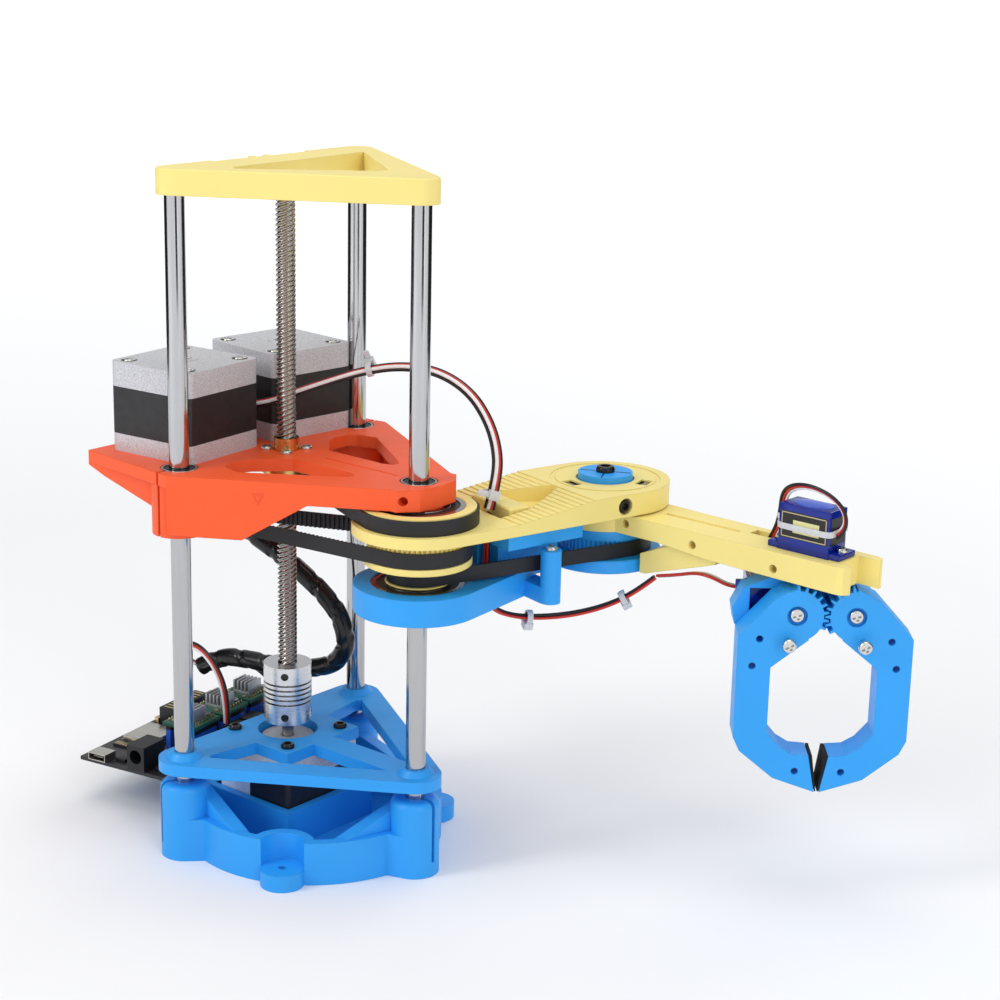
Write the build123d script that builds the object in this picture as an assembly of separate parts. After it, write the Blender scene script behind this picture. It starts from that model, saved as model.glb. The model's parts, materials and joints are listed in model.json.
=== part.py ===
from build123d import *
import os
from math import acos, atan2, cos, degrees, hypot, pi, radians, sin, tan

# A desktop SCARA arm: a three-rod tower lifts a carriage on a lead screw, and the
# carriage swings a belt-driven upper arm, a forearm, a wrist and a two-jaw gripper.
# Millimetres, +Z up. The origin is the centre of the base's bolt circle, on its underside.

# ---- driving dimensions -------------------------------------------------------------
FIT = 0.05  # radial clearance of a turning or sliding fit
GAP = 0.3  # clearance between pieces that pass each other

ROD_R = 4.0
ROD_CIRCLE = 56.0
ROD_ANGLES = {"front": 0.0, "left": -116.0, "right": 116.0}
ROD_BOTTOM, ROD_TOP = 3.0, 276.0
SCREW = (-16.0, 0.0)  # lead screw axis
SCREW_R = 4.0

BASE_R = 53.0
BASE_WALL = 4.0
BASE_HEIGHT = 18.0
BASE_FLOOR = 2.6
EAR_CIRCLE = 52.5
EAR_ANGLES = (60.0, 180.0, 300.0)
EAR_R, EAR_HEIGHT, EAR_HOLE_R = 8.8, 7.0, 1.6
PILLAR_R, PILLAR_TOP = 10.0, 32.0

MOTOR_SIDE, MOTOR_CORNER = 42.3, 3.4
MOTOR_BOSS_R, MOTOR_BOSS = 11.0, 2.0
SHAFT_R = 2.5
MOTOR_BOLT = 15.5  # half the spacing of a motor's four screws
Z_MOTOR = (3.0, 37.0)
PLATE = (37.0, 42.0)  # motor plate, lower and upper face
TOP_PLATE = (270.0, 280.0)

DECK = (158.0, 163.0)  # carriage deck
NOSE_BOTTOM = 154.5  # underside of the carriage nose over the shoulder
HOUSING_BOTTOM = 137.0
BEARING_LENGTH, BEARING_R = 24.0, 7.5  # linear bearing
ARM_MOTORS = {"left": (-46.3, -26.9, 5.3), "right": (-46.3, 26.9, -5.3)}
ARM_MOTOR_TOP = 199.5

RACE_R, RACE_BORE, RACE_WIDTH = 18.5, 10.0, 9.0  # 20 x 37 x 9 ball bearing
BELT_THICK, BELT_WIDTH = 0.9, 6.0
BELT_PITCH = 2.0


def pulley_r(teeth):
    """Outside radius of a 2 mm pitch belt pulley."""
    return teeth * BELT_PITCH / (2 * pi) - 0.254


MOTOR_TEETH, SHOULDER_TEETH, DRIVE_TEETH = 16, 72, 64
TRANSFER_TEETH, ELBOW_TEETH = 36, 60
SHOULDER_BELT_Z, DRIVE_BELT_Z, FOREARM_BELT_Z = 147.2, 133.6, 123.6

ARM_LENGTH, ARM_ANGLE = 91.5, 75.0
FOREARM_LENGTH, FOREARM_ANGLE = 105.9, -1.0
WRIST_ANGLE = -51.0  # the way the gripper faces, in the row frame
ARM_UNDER, ARM_TOP = 142.6, 152.0
FLANGE_TOP, HUB_TOP = 147.1, 153.7
LOWER_ARM = (111.7, 122.4)
FOREARM_TOP, FOREARM_UNDER = 142.0, 132.0

SERVO = (22.7, 12.2, 22.7)  # micro servo case: long, wide, tall
SERVO_SHAFT = 5.9  # shaft axis from the near end of the case
SERVO_TAB, SERVO_TAB_THICK = 4.7, 2.5
SERVO_ABOVE = 18.4  # case height on the far side of the tabs
JAW_PITCH_R = 11.35
JAW_TEETH = 22
TEETH_CUT = range(-2, 6)  # the teeth each jaw has, counted up from its line to the other pivot
GRIPPER_SHIFT = 2.3  # how far the middle of the gripper sits across from the wrist axis
JAW_Z = 118.5  # height of the jaw pivots
JAW_BACK, JAW_FRONT = -8.0, 6.0  # jaw faces, from the wrist axis along the facing

TOP_WINDOW = [
    (-12.5, 41.0), (-10.5, 10.0), (-9.5, -34.0), (-6.0, -36.5), (33.5, -1.0), (35.0, 2.5), (33.0, 6.0),
]
TOP_CORNER_R = 7.0

# half outlines of the carriage deck and of the window in it, on the left side
HALF_DECK = [(-71.0, -57.0), (-19.0, -62.5), (57.0, -17.5), (60.0, -17.5), (66.0, -10.5), (67.0, 0.0)]
HALF_WINDOW = [
    (-3.0, -39.5), (-12.0, -37.5), (-15.0, -34.0), (-15.5, -28.0), (-13.5, -22.5), (-2.0, -10.0),
    (28.0, -9.5), (32.5, -11.0), (33.0, -13.5), (31.0, -16.0),
]

# controller board, drawn from its near left corner
BOARD_CORNER, BOARD_TURN = (-97.5, -44.5), 10.0
BOARD_SIZE, BOARD_Z, BOARD_THICK = (50.0, 90.0), 18.4, 1.6
BOARD_ARM = (11.0, 17.0)  # lower and upper face of the arms under it
BOARD_HOLES = [(46.4, 24.0), (46.4, 70.0)]
BOARD_REST = 6.0

POST_R, POST_OFFSET = 4.15, 22.0  # belt tension post on the lower arm
SLOPE = (27.0, 66.0)  # where the upper arm's top climbs, along the arm
LAYER_STEPS = 13
CLIP = (34.0, 44.0)  # wire clip on the upper arm, along the arm
WIRE_SLOT = (29.0, 34.0)

NEAR_PRONG, FAR_PRONG = 123.0, 127.0  # where the two tines of the fork end, along the forearm
FORK_GAP = 7.0  # half the slot between them
SERVO_END = FOREARM_LENGTH + SERVO_SHAFT + 0.2
SERVO_START = SERVO_END - SERVO[0] - 0.4
SERVO_HOLES = (SERVO_START - 2.1, SERVO_END + 2.1)

GRIP_SCREW = (14.5, -10.2)  # across and above the jaw pivots
FRAME_DEEP = 11.0
JAW_HOLES = [(25.3, -9.5), (27.7, -20.5), (9.0, -63.5)]
JAW_OUTLINE = [
    (11.35, 11.0), (20.0, 6.6), (33.6, -8.5), (33.6, -50.0), (31.0, -55.5), (17.5, -66.5), (1.0, -72.0),
    (3.9, -57.0), (10.5, -56.5), (15.5, -53.5), (20.6, -47.5), (20.6, -21.0), (6.5, -9.5),
]

# Each cord: its diameter, then the corners of its route. The last point is its far end.
CORDS = {
    "wire_harness": (8.5, [
        (-76, 0, 148), (-75, 2, 137), (-66, 8, 127), (-53, 14, 118), (-38, 20, 108), (-23, 24, 98),
        (-11, 26.5, 87), (-8, 28, 73), (-17, 29, 62), (-33, 28.5, 56.5), (-50, 27, 54), (-66, 24.5, 54),
        (-80, 22, 52.5), (-90, 19.5, 46),
    ]),
    "servo_lead_tower": (4.0, [
        (-76, 0, 148.4), (-77, -0.3, 159), (-73, -0.5, 170), (-61, -0.3, 176), (-44, 0, 176.5),
        (-27, 0.8, 180), (-17, 10, 185.5), (-6, 17, 190.5), (5, 22.5, 195), (19, 29, 198.5),
        (34, 35, 198), (49, 38, 191.5), (59, 38.8, 180), (65, 37, 168), (68, 32, 158), (67.1, 29.1, 148),
    ]),
    "servo_lead_arm": (3.2, [
        (67.1, 29.3, 146.4), (65.2, 30.3, 128), (65, 30.6, 112), (66.6, 34, 104.5), (72, 43.5, 100.5),
        (81, 58, 99.5), (91, 71, 102), (101, 80.5, 108), (109, 85, 116),
    ]),
    "servo_lead_wrist": (3.2, [
        (110.2, 85.6, 117.1), (119, 86.2, 119), (128, 85.4, 122), (136.5, 84.4, 123), (143.4, 88.4, 119.2),
        (147.6, 91.8, 119),
    ]),
    "servo_lead_loop": (3.2, [
        (192.6, 84, 151), (196.5, 83.5, 154), (196, 83.5, 161), (190, 83, 166), (181, 83, 168),
        (172.5, 84.5, 166.5), (166, 88, 162), (163.8, 90.5, 153), (161, 92.4, 145.5), (157, 93, 138.5),
    ]),
    "board_servo_lead": (3.6, [
        (-91.8, 18.3, 46.8), (-96.5, 16.5, 48.5), (-95.5, 12.5, 55), (-87, 9, 60), (-76, 7, 60.5),
        (-66.5, 6.8, 54), (-62.2, 8.4, 42), (-62.2, 8.4, 29),
    ]),
    "board_motor_leads": (3.6, [
        (-91.8, 23, 44.6), (-97, 26.5, 45.5), (-95, 33, 47), (-86, 37.5, 46.5), (-75.5, 39.7, 44.5),
        (-65, 40.5, 38), (-65, 40.5, 29),
    ]),
}


# ---- helpers --------------------------------------------------------------------------
def polar(radius, angle, centre=(0.0, 0.0)):
    a = radians(angle)
    return (centre[0] + radius * cos(a), centre[1] + radius * sin(a))


def cyl(centre, z0, z1, r):
    return Pos(centre[0], centre[1], (z0 + z1) / 2) * Cylinder(r, z1 - z0)


def tube(centre, z0, z1, outer, inner):
    return cyl(centre, z0, z1, outer) - cyl(centre, z0 - 1, z1 + 1, inner)


def block(x0, x1, y0, y1, z0, z1):
    return Pos((x0 + x1) / 2, (y0 + y1) / 2, (z0 + z1) / 2) * Box(x1 - x0, y1 - y0, z1 - z0)


def prism(points, z0, z1):
    face = make_face(Polyline(*points, close=True))
    return Pos(0, 0, z0) * extrude(face, amount=z1 - z0, dir=(0, 0, 1))


def plate_xz(points, half):
    """A plate drawn in the XZ plane, half thick each way along Y."""
    return extrude(Plane.XZ * make_face(Polyline(*points, close=True)), amount=half, both=True)


def link(p, q, rp, rq, z0, z1):
    """A flat link with round ends of two sizes and straight tangent sides."""
    length = hypot(q[0] - p[0], q[1] - p[1])
    heading = degrees(atan2(q[1] - p[1], q[0] - p[0]))
    spread = degrees(acos((rp - rq) / length))
    corners = [
        polar(rp, heading + spread, p),
        polar(rq, heading + spread, q),
        polar(rq, heading - spread, q),
        polar(rp, heading - spread, p),
    ]
    return prism(corners, z0, z1) + cyl(p, z0, z1, rp) + cyl(q, z0, z1, rq)


def belt(p, q, rp, rq, z0):
    """A closed belt loop round two pulleys, a hair off both."""
    inner = link(p, q, rp + 0.15, rq + 0.15, z0 - 1, z0 + BELT_WIDTH + 1)
    outer = link(p, q, rp + 0.15 + BELT_THICK, rq + 0.15 + BELT_THICK, z0, z0 + BELT_WIDTH)
    return outer - inner


def motor_block(x, y, turn, z0, z1):
    face = RectangleRounded(MOTOR_SIDE, MOTOR_SIDE, MOTOR_CORNER)
    return Pos(x, y, z0) * (Rot(0, 0, turn) * extrude(face, amount=z1 - z0))


def socket_screw(centre, head_top, head_r, head_h, r, length):
    """A cap screw along Z, head up, with a round socket."""
    head = cyl(centre, head_top - head_h, head_top, head_r)
    shank = cyl(centre, head_top - head_h - length, head_top - head_h, r)
    return head + shank - cyl(centre, head_top - head_h * 0.6, head_top + 1, head_r * 0.45)


def group(shapes):
    return Compound(children=[s for s in shapes])


RODS = {name: polar(ROD_CIRCLE, angle) for name, angle in ROD_ANGLES.items()}
SHOULDER = RODS["front"]
ELBOW = polar(ARM_LENGTH, ARM_ANGLE, SHOULDER)
WRIST = polar(FOREARM_LENGTH, FOREARM_ANGLE, ELBOW)


def on_arm(shape):
    """Places a shape drawn with X along the upper arm and its origin at the shoulder."""
    return Pos(SHOULDER[0], SHOULDER[1], 0) * (Rot(0, 0, ARM_ANGLE) * shape)


def on_forearm(shape):
    """Places a shape drawn with X along the forearm and its origin at the elbow."""
    return Pos(ELBOW[0], ELBOW[1], 0) * (Rot(0, 0, FOREARM_ANGLE) * shape)


def on_wrist(shape):
    """Places a shape drawn with X across the gripper, Y back and Z up, beside the wrist axis."""
    return Pos(WRIST[0], WRIST[1], 0) * (Rot(0, 0, WRIST_ANGLE + 90) * (Pos(GRIPPER_SHIFT, 0, 0) * shape))


# ---- tower ----------------------------------------------------------------------------
def base_frame():
    body = tube((0, 0), 0, BASE_HEIGHT, BASE_R, BASE_R - BASE_WALL)
    body += cyl((0, 0), 0, BASE_FLOOR, BASE_R - BASE_WALL / 2)
    cradle = 0.5 * MOTOR_SIDE + 0.4
    wall = cradle + 3.5
    frame = block(SCREW[0] - wall, SCREW[0] + wall, -wall, wall, 0, BASE_HEIGHT)
    body += frame - block(SCREW[0] - cradle, SCREW[0] + cradle, -cradle, cradle, -1, BASE_HEIGHT + 1)
    body += block(SCREW[0] - wall, SCREW[0] + wall, -wall, wall, 0, BASE_FLOOR)
    for angle in ROD_ANGLES.values():
        rod = polar(ROD_CIRCLE, angle)
        web = link(polar(40, angle), rod, 15, PILLAR_R, 0, BASE_HEIGHT)
        body += web - cyl((0, 0), BASE_FLOOR, BASE_HEIGHT + 1, BASE_R - BASE_WALL)
        pillar = cyl(rod, 0, PILLAR_TOP, PILLAR_R)
        body += fillet(pillar.edges().group_by(Axis.Z)[-1], 3)
        for side in (-1, 1):
            corners = [(0, BASE_HEIGHT - 1), (0, PILLAR_TOP - 3), (30, BASE_HEIGHT - 1)]
            fin = plate_xz(corners, 3)
            spot = polar(BASE_R - 4, angle)
            body += Pos(spot[0], spot[1], 0) * (Rot(0, 0, angle + side * 106) * fin)
    for angle in EAR_ANGLES:
        ear = polar(EAR_CIRCLE, angle)
        # the ring wall bends inwards round the ear
        body += cyl(ear, 0, BASE_HEIGHT, EAR_R + BASE_WALL) & cyl((0, 0), 0, BASE_HEIGHT, BASE_R)
        body -= cyl(ear, EAR_HEIGHT, BASE_HEIGHT + 1, EAR_R)
        body += link(polar(EAR_CIRCLE - 4, angle), ear, EAR_R, EAR_R, 0, EAR_HEIGHT)
        body -= cyl(ear, -1, EAR_HEIGHT + 1, EAR_HOLE_R)
    # two arms outside the ring carry the controller board
    ring = cyl((0, 0), -1, BASE_HEIGHT + 1, BASE_R - BASE_WALL / 2)
    for u, v in BOARD_HOLES:
        body += on_board(block(BOARD_REST, u + 32, v - 3, v + 3, *BOARD_ARM)) - ring
        for place in (on_board_point(u, v), on_board_point(BOARD_REST + 3, v)):
            body += cyl(place, BOARD_ARM[0], BOARD_Z, 3.0)
        body -= cyl(on_board_point(u, v), BOARD_Z - 6, BOARD_Z + 1, 1.25)
    for angle in ROD_ANGLES.values():
        rod = polar(ROD_CIRCLE, angle)
        body -= cyl(rod, ROD_BOTTOM, PILLAR_TOP + 1, ROD_R)
        slit = block(0, 12, -0.8, 0.8, 6, PILLAR_TOP + 1)
        body -= Pos(rod[0], rod[1], 0) * (Rot(0, 0, angle) * slit)
    return body


def motor_plate():
    z0, z1 = PLATE
    lobe = 10.5
    spots = list(RODS.values())
    body = prism(spots, z0, z1)
    for i in range(3):
        body += link(spots[i], spots[i - 1], lobe, lobe, z0, z1)
    keep_in = block(SCREW[0] - 21, SCREW[0] + 21, -21, 21, z0 - 1, z1 + 1)
    for spot in spots:
        keep_in += link(SCREW, spot, 6, 6.01, z0 - 1, z1 + 1) + cyl(spot, z0 - 1, z1 + 1, lobe)
    body -= prism(spots, z0 - 1, z1 + 1) - keep_in
    for spot in spots:
        collar = Pos(spot[0], spot[1], z1 + 1.25) * Cone(7.5, 5.5, 2.5)
        body += collar
        body -= cyl(spot, z0 - 1, z1 + 5, ROD_R)
    body -= cyl(SCREW, z0 - 1, z1 + 1, 12.5)
    for sx in (-1, 1):
        for sy in (-1, 1):
            body -= cyl((SCREW[0] + sx * MOTOR_BOLT, sy * MOTOR_BOLT), z0 - 1, z1 + 1, 1.6)
    return body


def top_plate():
    z0, z1 = TOP_PLATE
    spots = list(RODS.values())
    body = prism(spots, z0, z1)
    for i in range(3):
        body += link(spots[i], spots[i - 1], TOP_CORNER_R, TOP_CORNER_R + 0.01, z0, z1)
    body = chamfer(body.edges().group_by(Axis.Z)[-1], 0.6)
    body -= prism(TOP_WINDOW, z0 - 1, z1 + 1)
    # the far side wall is cut back, and keeps two small hooks
    back = min(x for x, y in spots) - TOP_CORNER_R
    body -= block(back - 10, back + 3, -26, 26, z0 - 1, z1 + 1)
    for y in (-4.0, 4.0):
        body += block(back, back + 4, y - 1.2, y + 1.2, z1 - 4, z1)
    for spot in RODS.values():
        body -= cyl(spot, z0 - 1, ROD_TOP, ROD_R)
    body -= cyl(SCREW, z0 - 1, z0 + 5, SCREW_R + GAP)
    return body


def motor_parts(x, y, turn, z0, z1, cap_low, cap_high, shaft_up):
    caps = [motor_block(x, y, turn, z0, z0 + cap_low), motor_block(x, y, turn, z1 - cap_high, z1)]
    core = motor_block(x, y, turn, z0 + cap_low, z1 - cap_high)
    side = MOTOR_SIDE - 0.6
    core = core & Pos(x, y, (z0 + z1) / 2) * (Rot(0, 0, turn) * Box(side, side, z1 - z0))
    if shaft_up:
        caps[1] += cyl((x, y), z1, z1 + MOTOR_BOSS, MOTOR_BOSS_R)
    else:
        caps[0] += cyl((x, y), z0 - MOTOR_BOSS, z0, MOTOR_BOSS_R)
    bore = (z0 + 12, z1 + 5) if shaft_up else (z0 - 5, z1 - 12)
    bore = cyl((x, y), *bore, SHAFT_R + GAP)
    return [c - bore for c in caps], core - bore


# ---- controller board -------------------------------------------------------------------
def on_board(shape):
    """Places a shape drawn with its origin at the board's near left corner."""
    return Pos(BOARD_CORNER[0], BOARD_CORNER[1], 0) * (Rot(0, 0, BOARD_TURN) * shape)


def on_board_point(u, v):
    c, s = cos(radians(BOARD_TURN)), sin(radians(BOARD_TURN))
    return (BOARD_CORNER[0] + u * c - v * s, BOARD_CORNER[1] + u * s + v * c)


def board_parts():
    top = BOARD_Z + BOARD_THICK
    board = on_board(block(0, BOARD_SIZE[0], 0, BOARD_SIZE[1], BOARD_Z, top))
    for spot in BOARD_HOLES:
        board -= cyl(on_board_point(*spot), BOARD_Z - 1, top + 1, 1.7)
    nodes = {"controller_board": board}
    usb = block(5, 14, -0.8, 6.6, top, top + 3.3) - block(5.8, 13.2, -2, 5, top + 0.7, top + 2.6)
    nodes["usb_socket"] = on_board(usb)
    jack = block(26, 35, -0.5, 13.5, top, top + 11)
    jack -= Pos(30.5, 4, top + 6.2) * (Rot(90, 0, 0) * Cylinder(3.1, 12))
    nodes["power_jack"] = on_board(jack)
    module = block(4, 22, 17, 19.5, top, top + 0.9) + block(4, 22, 19.5, 42.5, top, top + 3.2)
    nodes["radio_module"] = on_board(module)
    headers = []
    drivers = []
    sinks = []
    for k in range(3):
        v0 = 27.0 + 20.5 * k
        for u in (25.2, 38.2):
            headers.append(on_board(block(u, u + 2.5, v0, v0 + 16, top, top + 8.6)))
        drivers.append(on_board(block(24.5, 41.5, v0 - 1.5, v0 + 17.5, top + 11, top + 12.6)))
        for u in (25.2, 38.2):
            drivers[-1] += on_board(block(u + 0.9, u + 1.6, v0 + 0.5, v0 + 15.5, top + 8.6, top + 11))
        sink = block(28.5, 37.5, v0 + 3.5, v0 + 12.5, top + 12.6, top + 14)
        for i in range(4):
            sink += block(28.5 + 2.65 * i, 29.55 + 2.65 * i, v0 + 3.5, v0 + 12.5, top + 13.9, top + 18.5)
        sinks.append(on_board(sink))
    nodes["board_headers"] = group(headers)
    nodes["driver_boards"] = group(drivers)
    nodes["heat_sinks"] = group(sinks)
    plugs = []
    for v in (48.0, 60.0, 78.0):
        plugs.append(block(44, 49.5, v - 5, v + 5, top, top + 9))
    for k in range(2):
        plugs.append(block(5, 13, 48 + 14 * k, 60 + 14 * k, top, top + 8))
    nodes["board_plugs"] = group([on_board(plug) for plug in plugs])
    return nodes


# ---- carriage ---------------------------------------------------------------------------
def mirrored(points):
    return [(x, -y) for x, y in reversed(points)]


def side_rail():
    """The deep rail under one long edge of the deck, deepest at its bearing housing."""
    start, end = HALF_DECK[1], HALF_DECK[2]
    length = hypot(end[0] - start[0], end[1] - start[1])
    heading = degrees(atan2(end[1] - start[1], end[0] - start[0]))
    low, top = HOUSING_BOTTOM + 2, DECK[0] + 1
    profile = [(0, low), (30, low), (56, NOSE_BOTTOM), (length, NOSE_BOTTOM), (length, top), (0, top)]
    rail = extrude(Plane.XZ * make_face(Polyline(*profile, close=True)), amount=-3.5)
    return Pos(start[0], start[1], 0) * (Rot(0, 0, heading) * rail)


def carriage_plate():
    body = prism(HALF_DECK + mirrored(HALF_DECK[:-1]), *DECK)
    nose = [(36, -14)] + HALF_DECK[2:] + mirrored(HALF_DECK[2:-1]) + [(36, 14)]
    body += prism(nose, NOSE_BOTTOM, DECK[0] + 1)
    rail = side_rail()
    body += rail + mirror(rail, about=Plane.XZ)
    for name in ("left", "right"):
        body += cyl(RODS[name], HOUSING_BOTTOM, DECK[0] + 1, 11.0)
        wing_y = -57.0 if name == "left" else 54.0
        low, top = DECK[0] - 12, DECK[0] + 1
        gusset = [(-71, DECK[0] - 1), (-62, DECK[0] - 4), (-30, low), (-30, top), (-71, top)]
        wing = extrude(Plane.XZ * make_face(Polyline(*gusset, close=True)), amount=-3)
        body += Pos(0, wing_y, 0) * wing
    body -= prism(HALF_WINDOW, DECK[0] - 1, DECK[1] + 1)
    body -= prism(mirrored(HALF_WINDOW), DECK[0] - 1, DECK[1] + 1)
    for name, rod in RODS.items():
        body -= cyl(rod, DECK[1] - BEARING_LENGTH, DECK[1] + 1, BEARING_R)
        body -= cyl(rod, HOUSING_BOTTOM - 1, DECK[1], ROD_R + 2)
    for name, (x, y, turn) in ARM_MOTORS.items():
        body -= cyl((x, y), DECK[0] - 5, DECK[1] + 1, MOTOR_BOSS_R + GAP)
        for spot in motor_bolts(x, y, turn):
            body -= cyl(spot, DECK[0] - 14, DECK[1] + 1, 1.6)
            body -= cyl(spot, DECK[0] - 14, DECK[0], 2.9)
    body -= cyl(SCREW, DECK[0] - 1, DECK[1] + 1, 5.3)
    for spot in NUT_BOLTS:
        body -= cyl(spot, DECK[0] - 1, DECK[1] + 1, 1.6)
    for side in (-1, 1):
        rod = RODS["left"] if side > 0 else RODS["right"]
        body -= Pos(rod[0], rod[1] - side * 8, 0) * block(-0.6, 0.6, -4, 4, HOUSING_BOTTOM - 1, DECK[1] + 1)
    side_hole = Rot(0, 0, 30) * (Rot(90, 0, 0) * Cylinder(1.8, 12))
    body -= Pos(SHOULDER[0] + 5.5, SHOULDER[1] - 15, 158.8) * side_hole
    # a shallow line from the nut to the front rod
    body -= block(SCREW[0] + 22, SHOULDER[0] - 11, -0.5, 0.5, DECK[1] - 0.8, DECK[1] + 1)
    return body


def motor_bolts(x, y, turn):
    return [polar(MOTOR_BOLT * 2**0.5, turn + 45 + 90 * k, (x, y)) for k in range(4)]


NUT_BOLTS = [polar(8.0, 45 + 90 * k, SCREW) for k in range(4)]


def lead_nut():
    flange = cyl(SCREW, DECK[0] - 3.5, DECK[0], 11.0)
    body = flange + cyl(SCREW, DECK[0], DECK[1] + 5, 5.1)
    body -= cyl(SCREW, 100, 200, SCREW_R + FIT)
    for spot in NUT_BOLTS:
        body -= cyl(spot, 100, 200, 1.6)
    return body


def carriage_screws():
    screws = [cyl(spot, DECK[0] - 3.4, DECK[1] + 1.2, 1.5) for spot in NUT_BOLTS]
    for x, y, turn in ARM_MOTORS.values():
        for spot in motor_bolts(x, y, turn):
            screws.append(cyl(spot, DECK[0] - 2.4, DECK[0], 2.7) + cyl(spot, DECK[0], DECK[1], 1.5))
    return group(screws)


def shoulder_column():
    body = cyl(SHOULDER, 131.8, NOSE_BOTTOM, RACE_BORE - FIT)
    body += cyl(SHOULDER, 108.2, 131.8, 8.5)
    body -= cyl(SHOULDER, DECK[1] - BEARING_LENGTH, 170, BEARING_R)
    return body - cyl(SHOULDER, 100, 170, ROD_R + 0.6)


def motor_pulley(name, z0):
    x, y, turn = ARM_MOTORS[name]
    r = pulley_r(MOTOR_TEETH)
    body = cyl((x, y), z0 - 1.4, z0 - 0.4, r + 1.6) + cyl((x, y), z0 - 0.4, z0 + 7, r)
    body += cyl((x, y), z0 + 7, z0 + 8, r + 1.6) + cyl((x, y), z0 + 8, z0 + 13, r + 1.0)
    return body + cyl((x, y), z0 + 8, 185, SHAFT_R)


# ---- shoulder stack -----------------------------------------------------------------------
def transfer_pulley():
    small, large = pulley_r(TRANSFER_TEETH), pulley_r(DRIVE_TEETH)
    body = cyl(SHOULDER, 112.2, 122.7, RACE_BORE - FIT)
    body += cyl(SHOULDER, 122.7, 123.3, small + 1.7)
    body += cyl(SHOULDER, 123.3, 130.6, small)
    body += cyl(SHOULDER, 130.6, 133.3, large + 1.1)
    body += cyl(SHOULDER, 133.3, 141.9, large)
    body -= cyl(SHOULDER, 100, 131.6, 8.5 + FIT)
    return body - cyl(SHOULDER, 131.6, 150, RACE_BORE + 0.1)


def ball_bearing(centre, z0):
    return tube(centre, z0, z0 + RACE_WIDTH, RACE_R, RACE_BORE)


def upper_arm():
    disc_r, elbow_r = 26.0, 26.5
    body = link((0, 0), (ARM_LENGTH, 0), disc_r, elbow_r, ARM_UNDER, ARM_TOP)
    body -= block(-40, SLOPE[0], -40, 40, FLANGE_TOP, 170)
    # the climb is a flight of printed layers
    run = (SLOPE[1] - SLOPE[0]) / LAYER_STEPS
    rise = (ARM_TOP - FLANGE_TOP) / LAYER_STEPS
    for k in range(LAYER_STEPS):
        start = SLOPE[0] + k * run
        body -= block(start - 1, start + run, -40, 40, FLANGE_TOP + k * rise, 170)
    body += cyl((0, 0), FLANGE_TOP - 1, HUB_TOP, pulley_r(SHOULDER_TEETH))
    recess = [(29, -14), (29, 14), (44, 14), (66, 2), (66, -2), (44, -14)]
    floor = ARM_UNDER + 2.4
    body -= prism(recess, floor, 170)
    for t0, t1 in ((-13, -0.6), (0.6, 13)):
        clip = block(*CLIP, t0, t1, floor - 0.4, ARM_UNDER + 7.2)
        body += chamfer(clip.edges().group_by(Axis.Z)[-1], 0.6)
    body -= block(WIRE_SLOT[0], CLIP[0], -13, 5, ARM_UNDER - 1, 170)
    body -= cyl((51, 3), ARM_UNDER - 1, 170, 1.2)
    body -= cyl((0, 0), ARM_UNDER - 1, 170, RACE_R - 2.5)
    body -= cyl((0, 0), HUB_TOP - RACE_WIDTH, 170, RACE_R)
    elbow = (ARM_LENGTH, 0)
    body -= cyl(elbow, ARM_UNDER - 1, ARM_TOP - 0.8, RACE_R)
    body -= cyl(elbow, ARM_UNDER, 170, 12.0)
    # a shallow ring round the elbow, and three windows onto its bearing
    body -= tube(elbow, ARM_TOP - 0.3, 170, 22.6, 20.8)
    for k in range(3):
        window = block(14.5, 19.5, -4, 4, ARM_TOP - 2, 170)
        body -= Pos(ARM_LENGTH, 0, 0) * (Rot(0, 0, 60 + 120 * k) * window)
    spot = Pos(ARM_LENGTH - 10, -26.5, 147.2) * (Rot(90, 0, 0) * Cylinder(3.4, 6))
    return on_arm(body - spot)


def lower_arm():
    z0, z1 = LOWER_ARM
    body = link((0, 0), (46, 0), 25.4, 9.2, z0, z1)
    body -= cyl((0, 0), z0 - 1, z1 + 1, RACE_R - 2.5)
    body -= cyl((0, 0), z1 - RACE_WIDTH - 0.3, z1 + 1, RACE_R)
    # web between the belt's two runs, up to a pad under the upper arm
    body += prism([(30, -6), (55, -6), (62, -8), (62, 8), (55, 6), (30, 6)], z1 - 4, ARM_UNDER)
    pad = prism([(29, -20), (66, -19), (66, 19), (29, 20)], ARM_UNDER - 7.5, ARM_UNDER)
    pad -= cyl((0, 0), 100, 170, pulley_r(DRIVE_TEETH) + 5.5)
    pad -= cyl((ARM_LENGTH, 0), 100, 170, 30.5)
    body += pad
    body -= block(*WIRE_SLOT, -7.5, 2.5, z0 - 1, 170)
    # tension post beside the near run
    post = (48.3, -POST_OFFSET)
    body += cyl(post, z0, 133.5, POST_R) + block(44, 52.4, -POST_OFFSET, 0, z0, z1 - 4)
    return on_arm(body - cyl(post, 126, 140, 1.3))


def arm_screws():
    head = Cylinder(2.9, 2.6) - Pos(0, 0, 1.3) * Cylinder(1.3, 2)
    side = Pos(ARM_LENGTH - 10, -24.9, 147.2) * (Rot(90, 0, 0) * head)
    tension = cyl((48.3, -POST_OFFSET), 127, 133.5, 1.25) + cyl((48.3, -POST_OFFSET), 133.5, 135.0, 2.6)
    return group([on_arm(side), on_arm(tension)])


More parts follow.
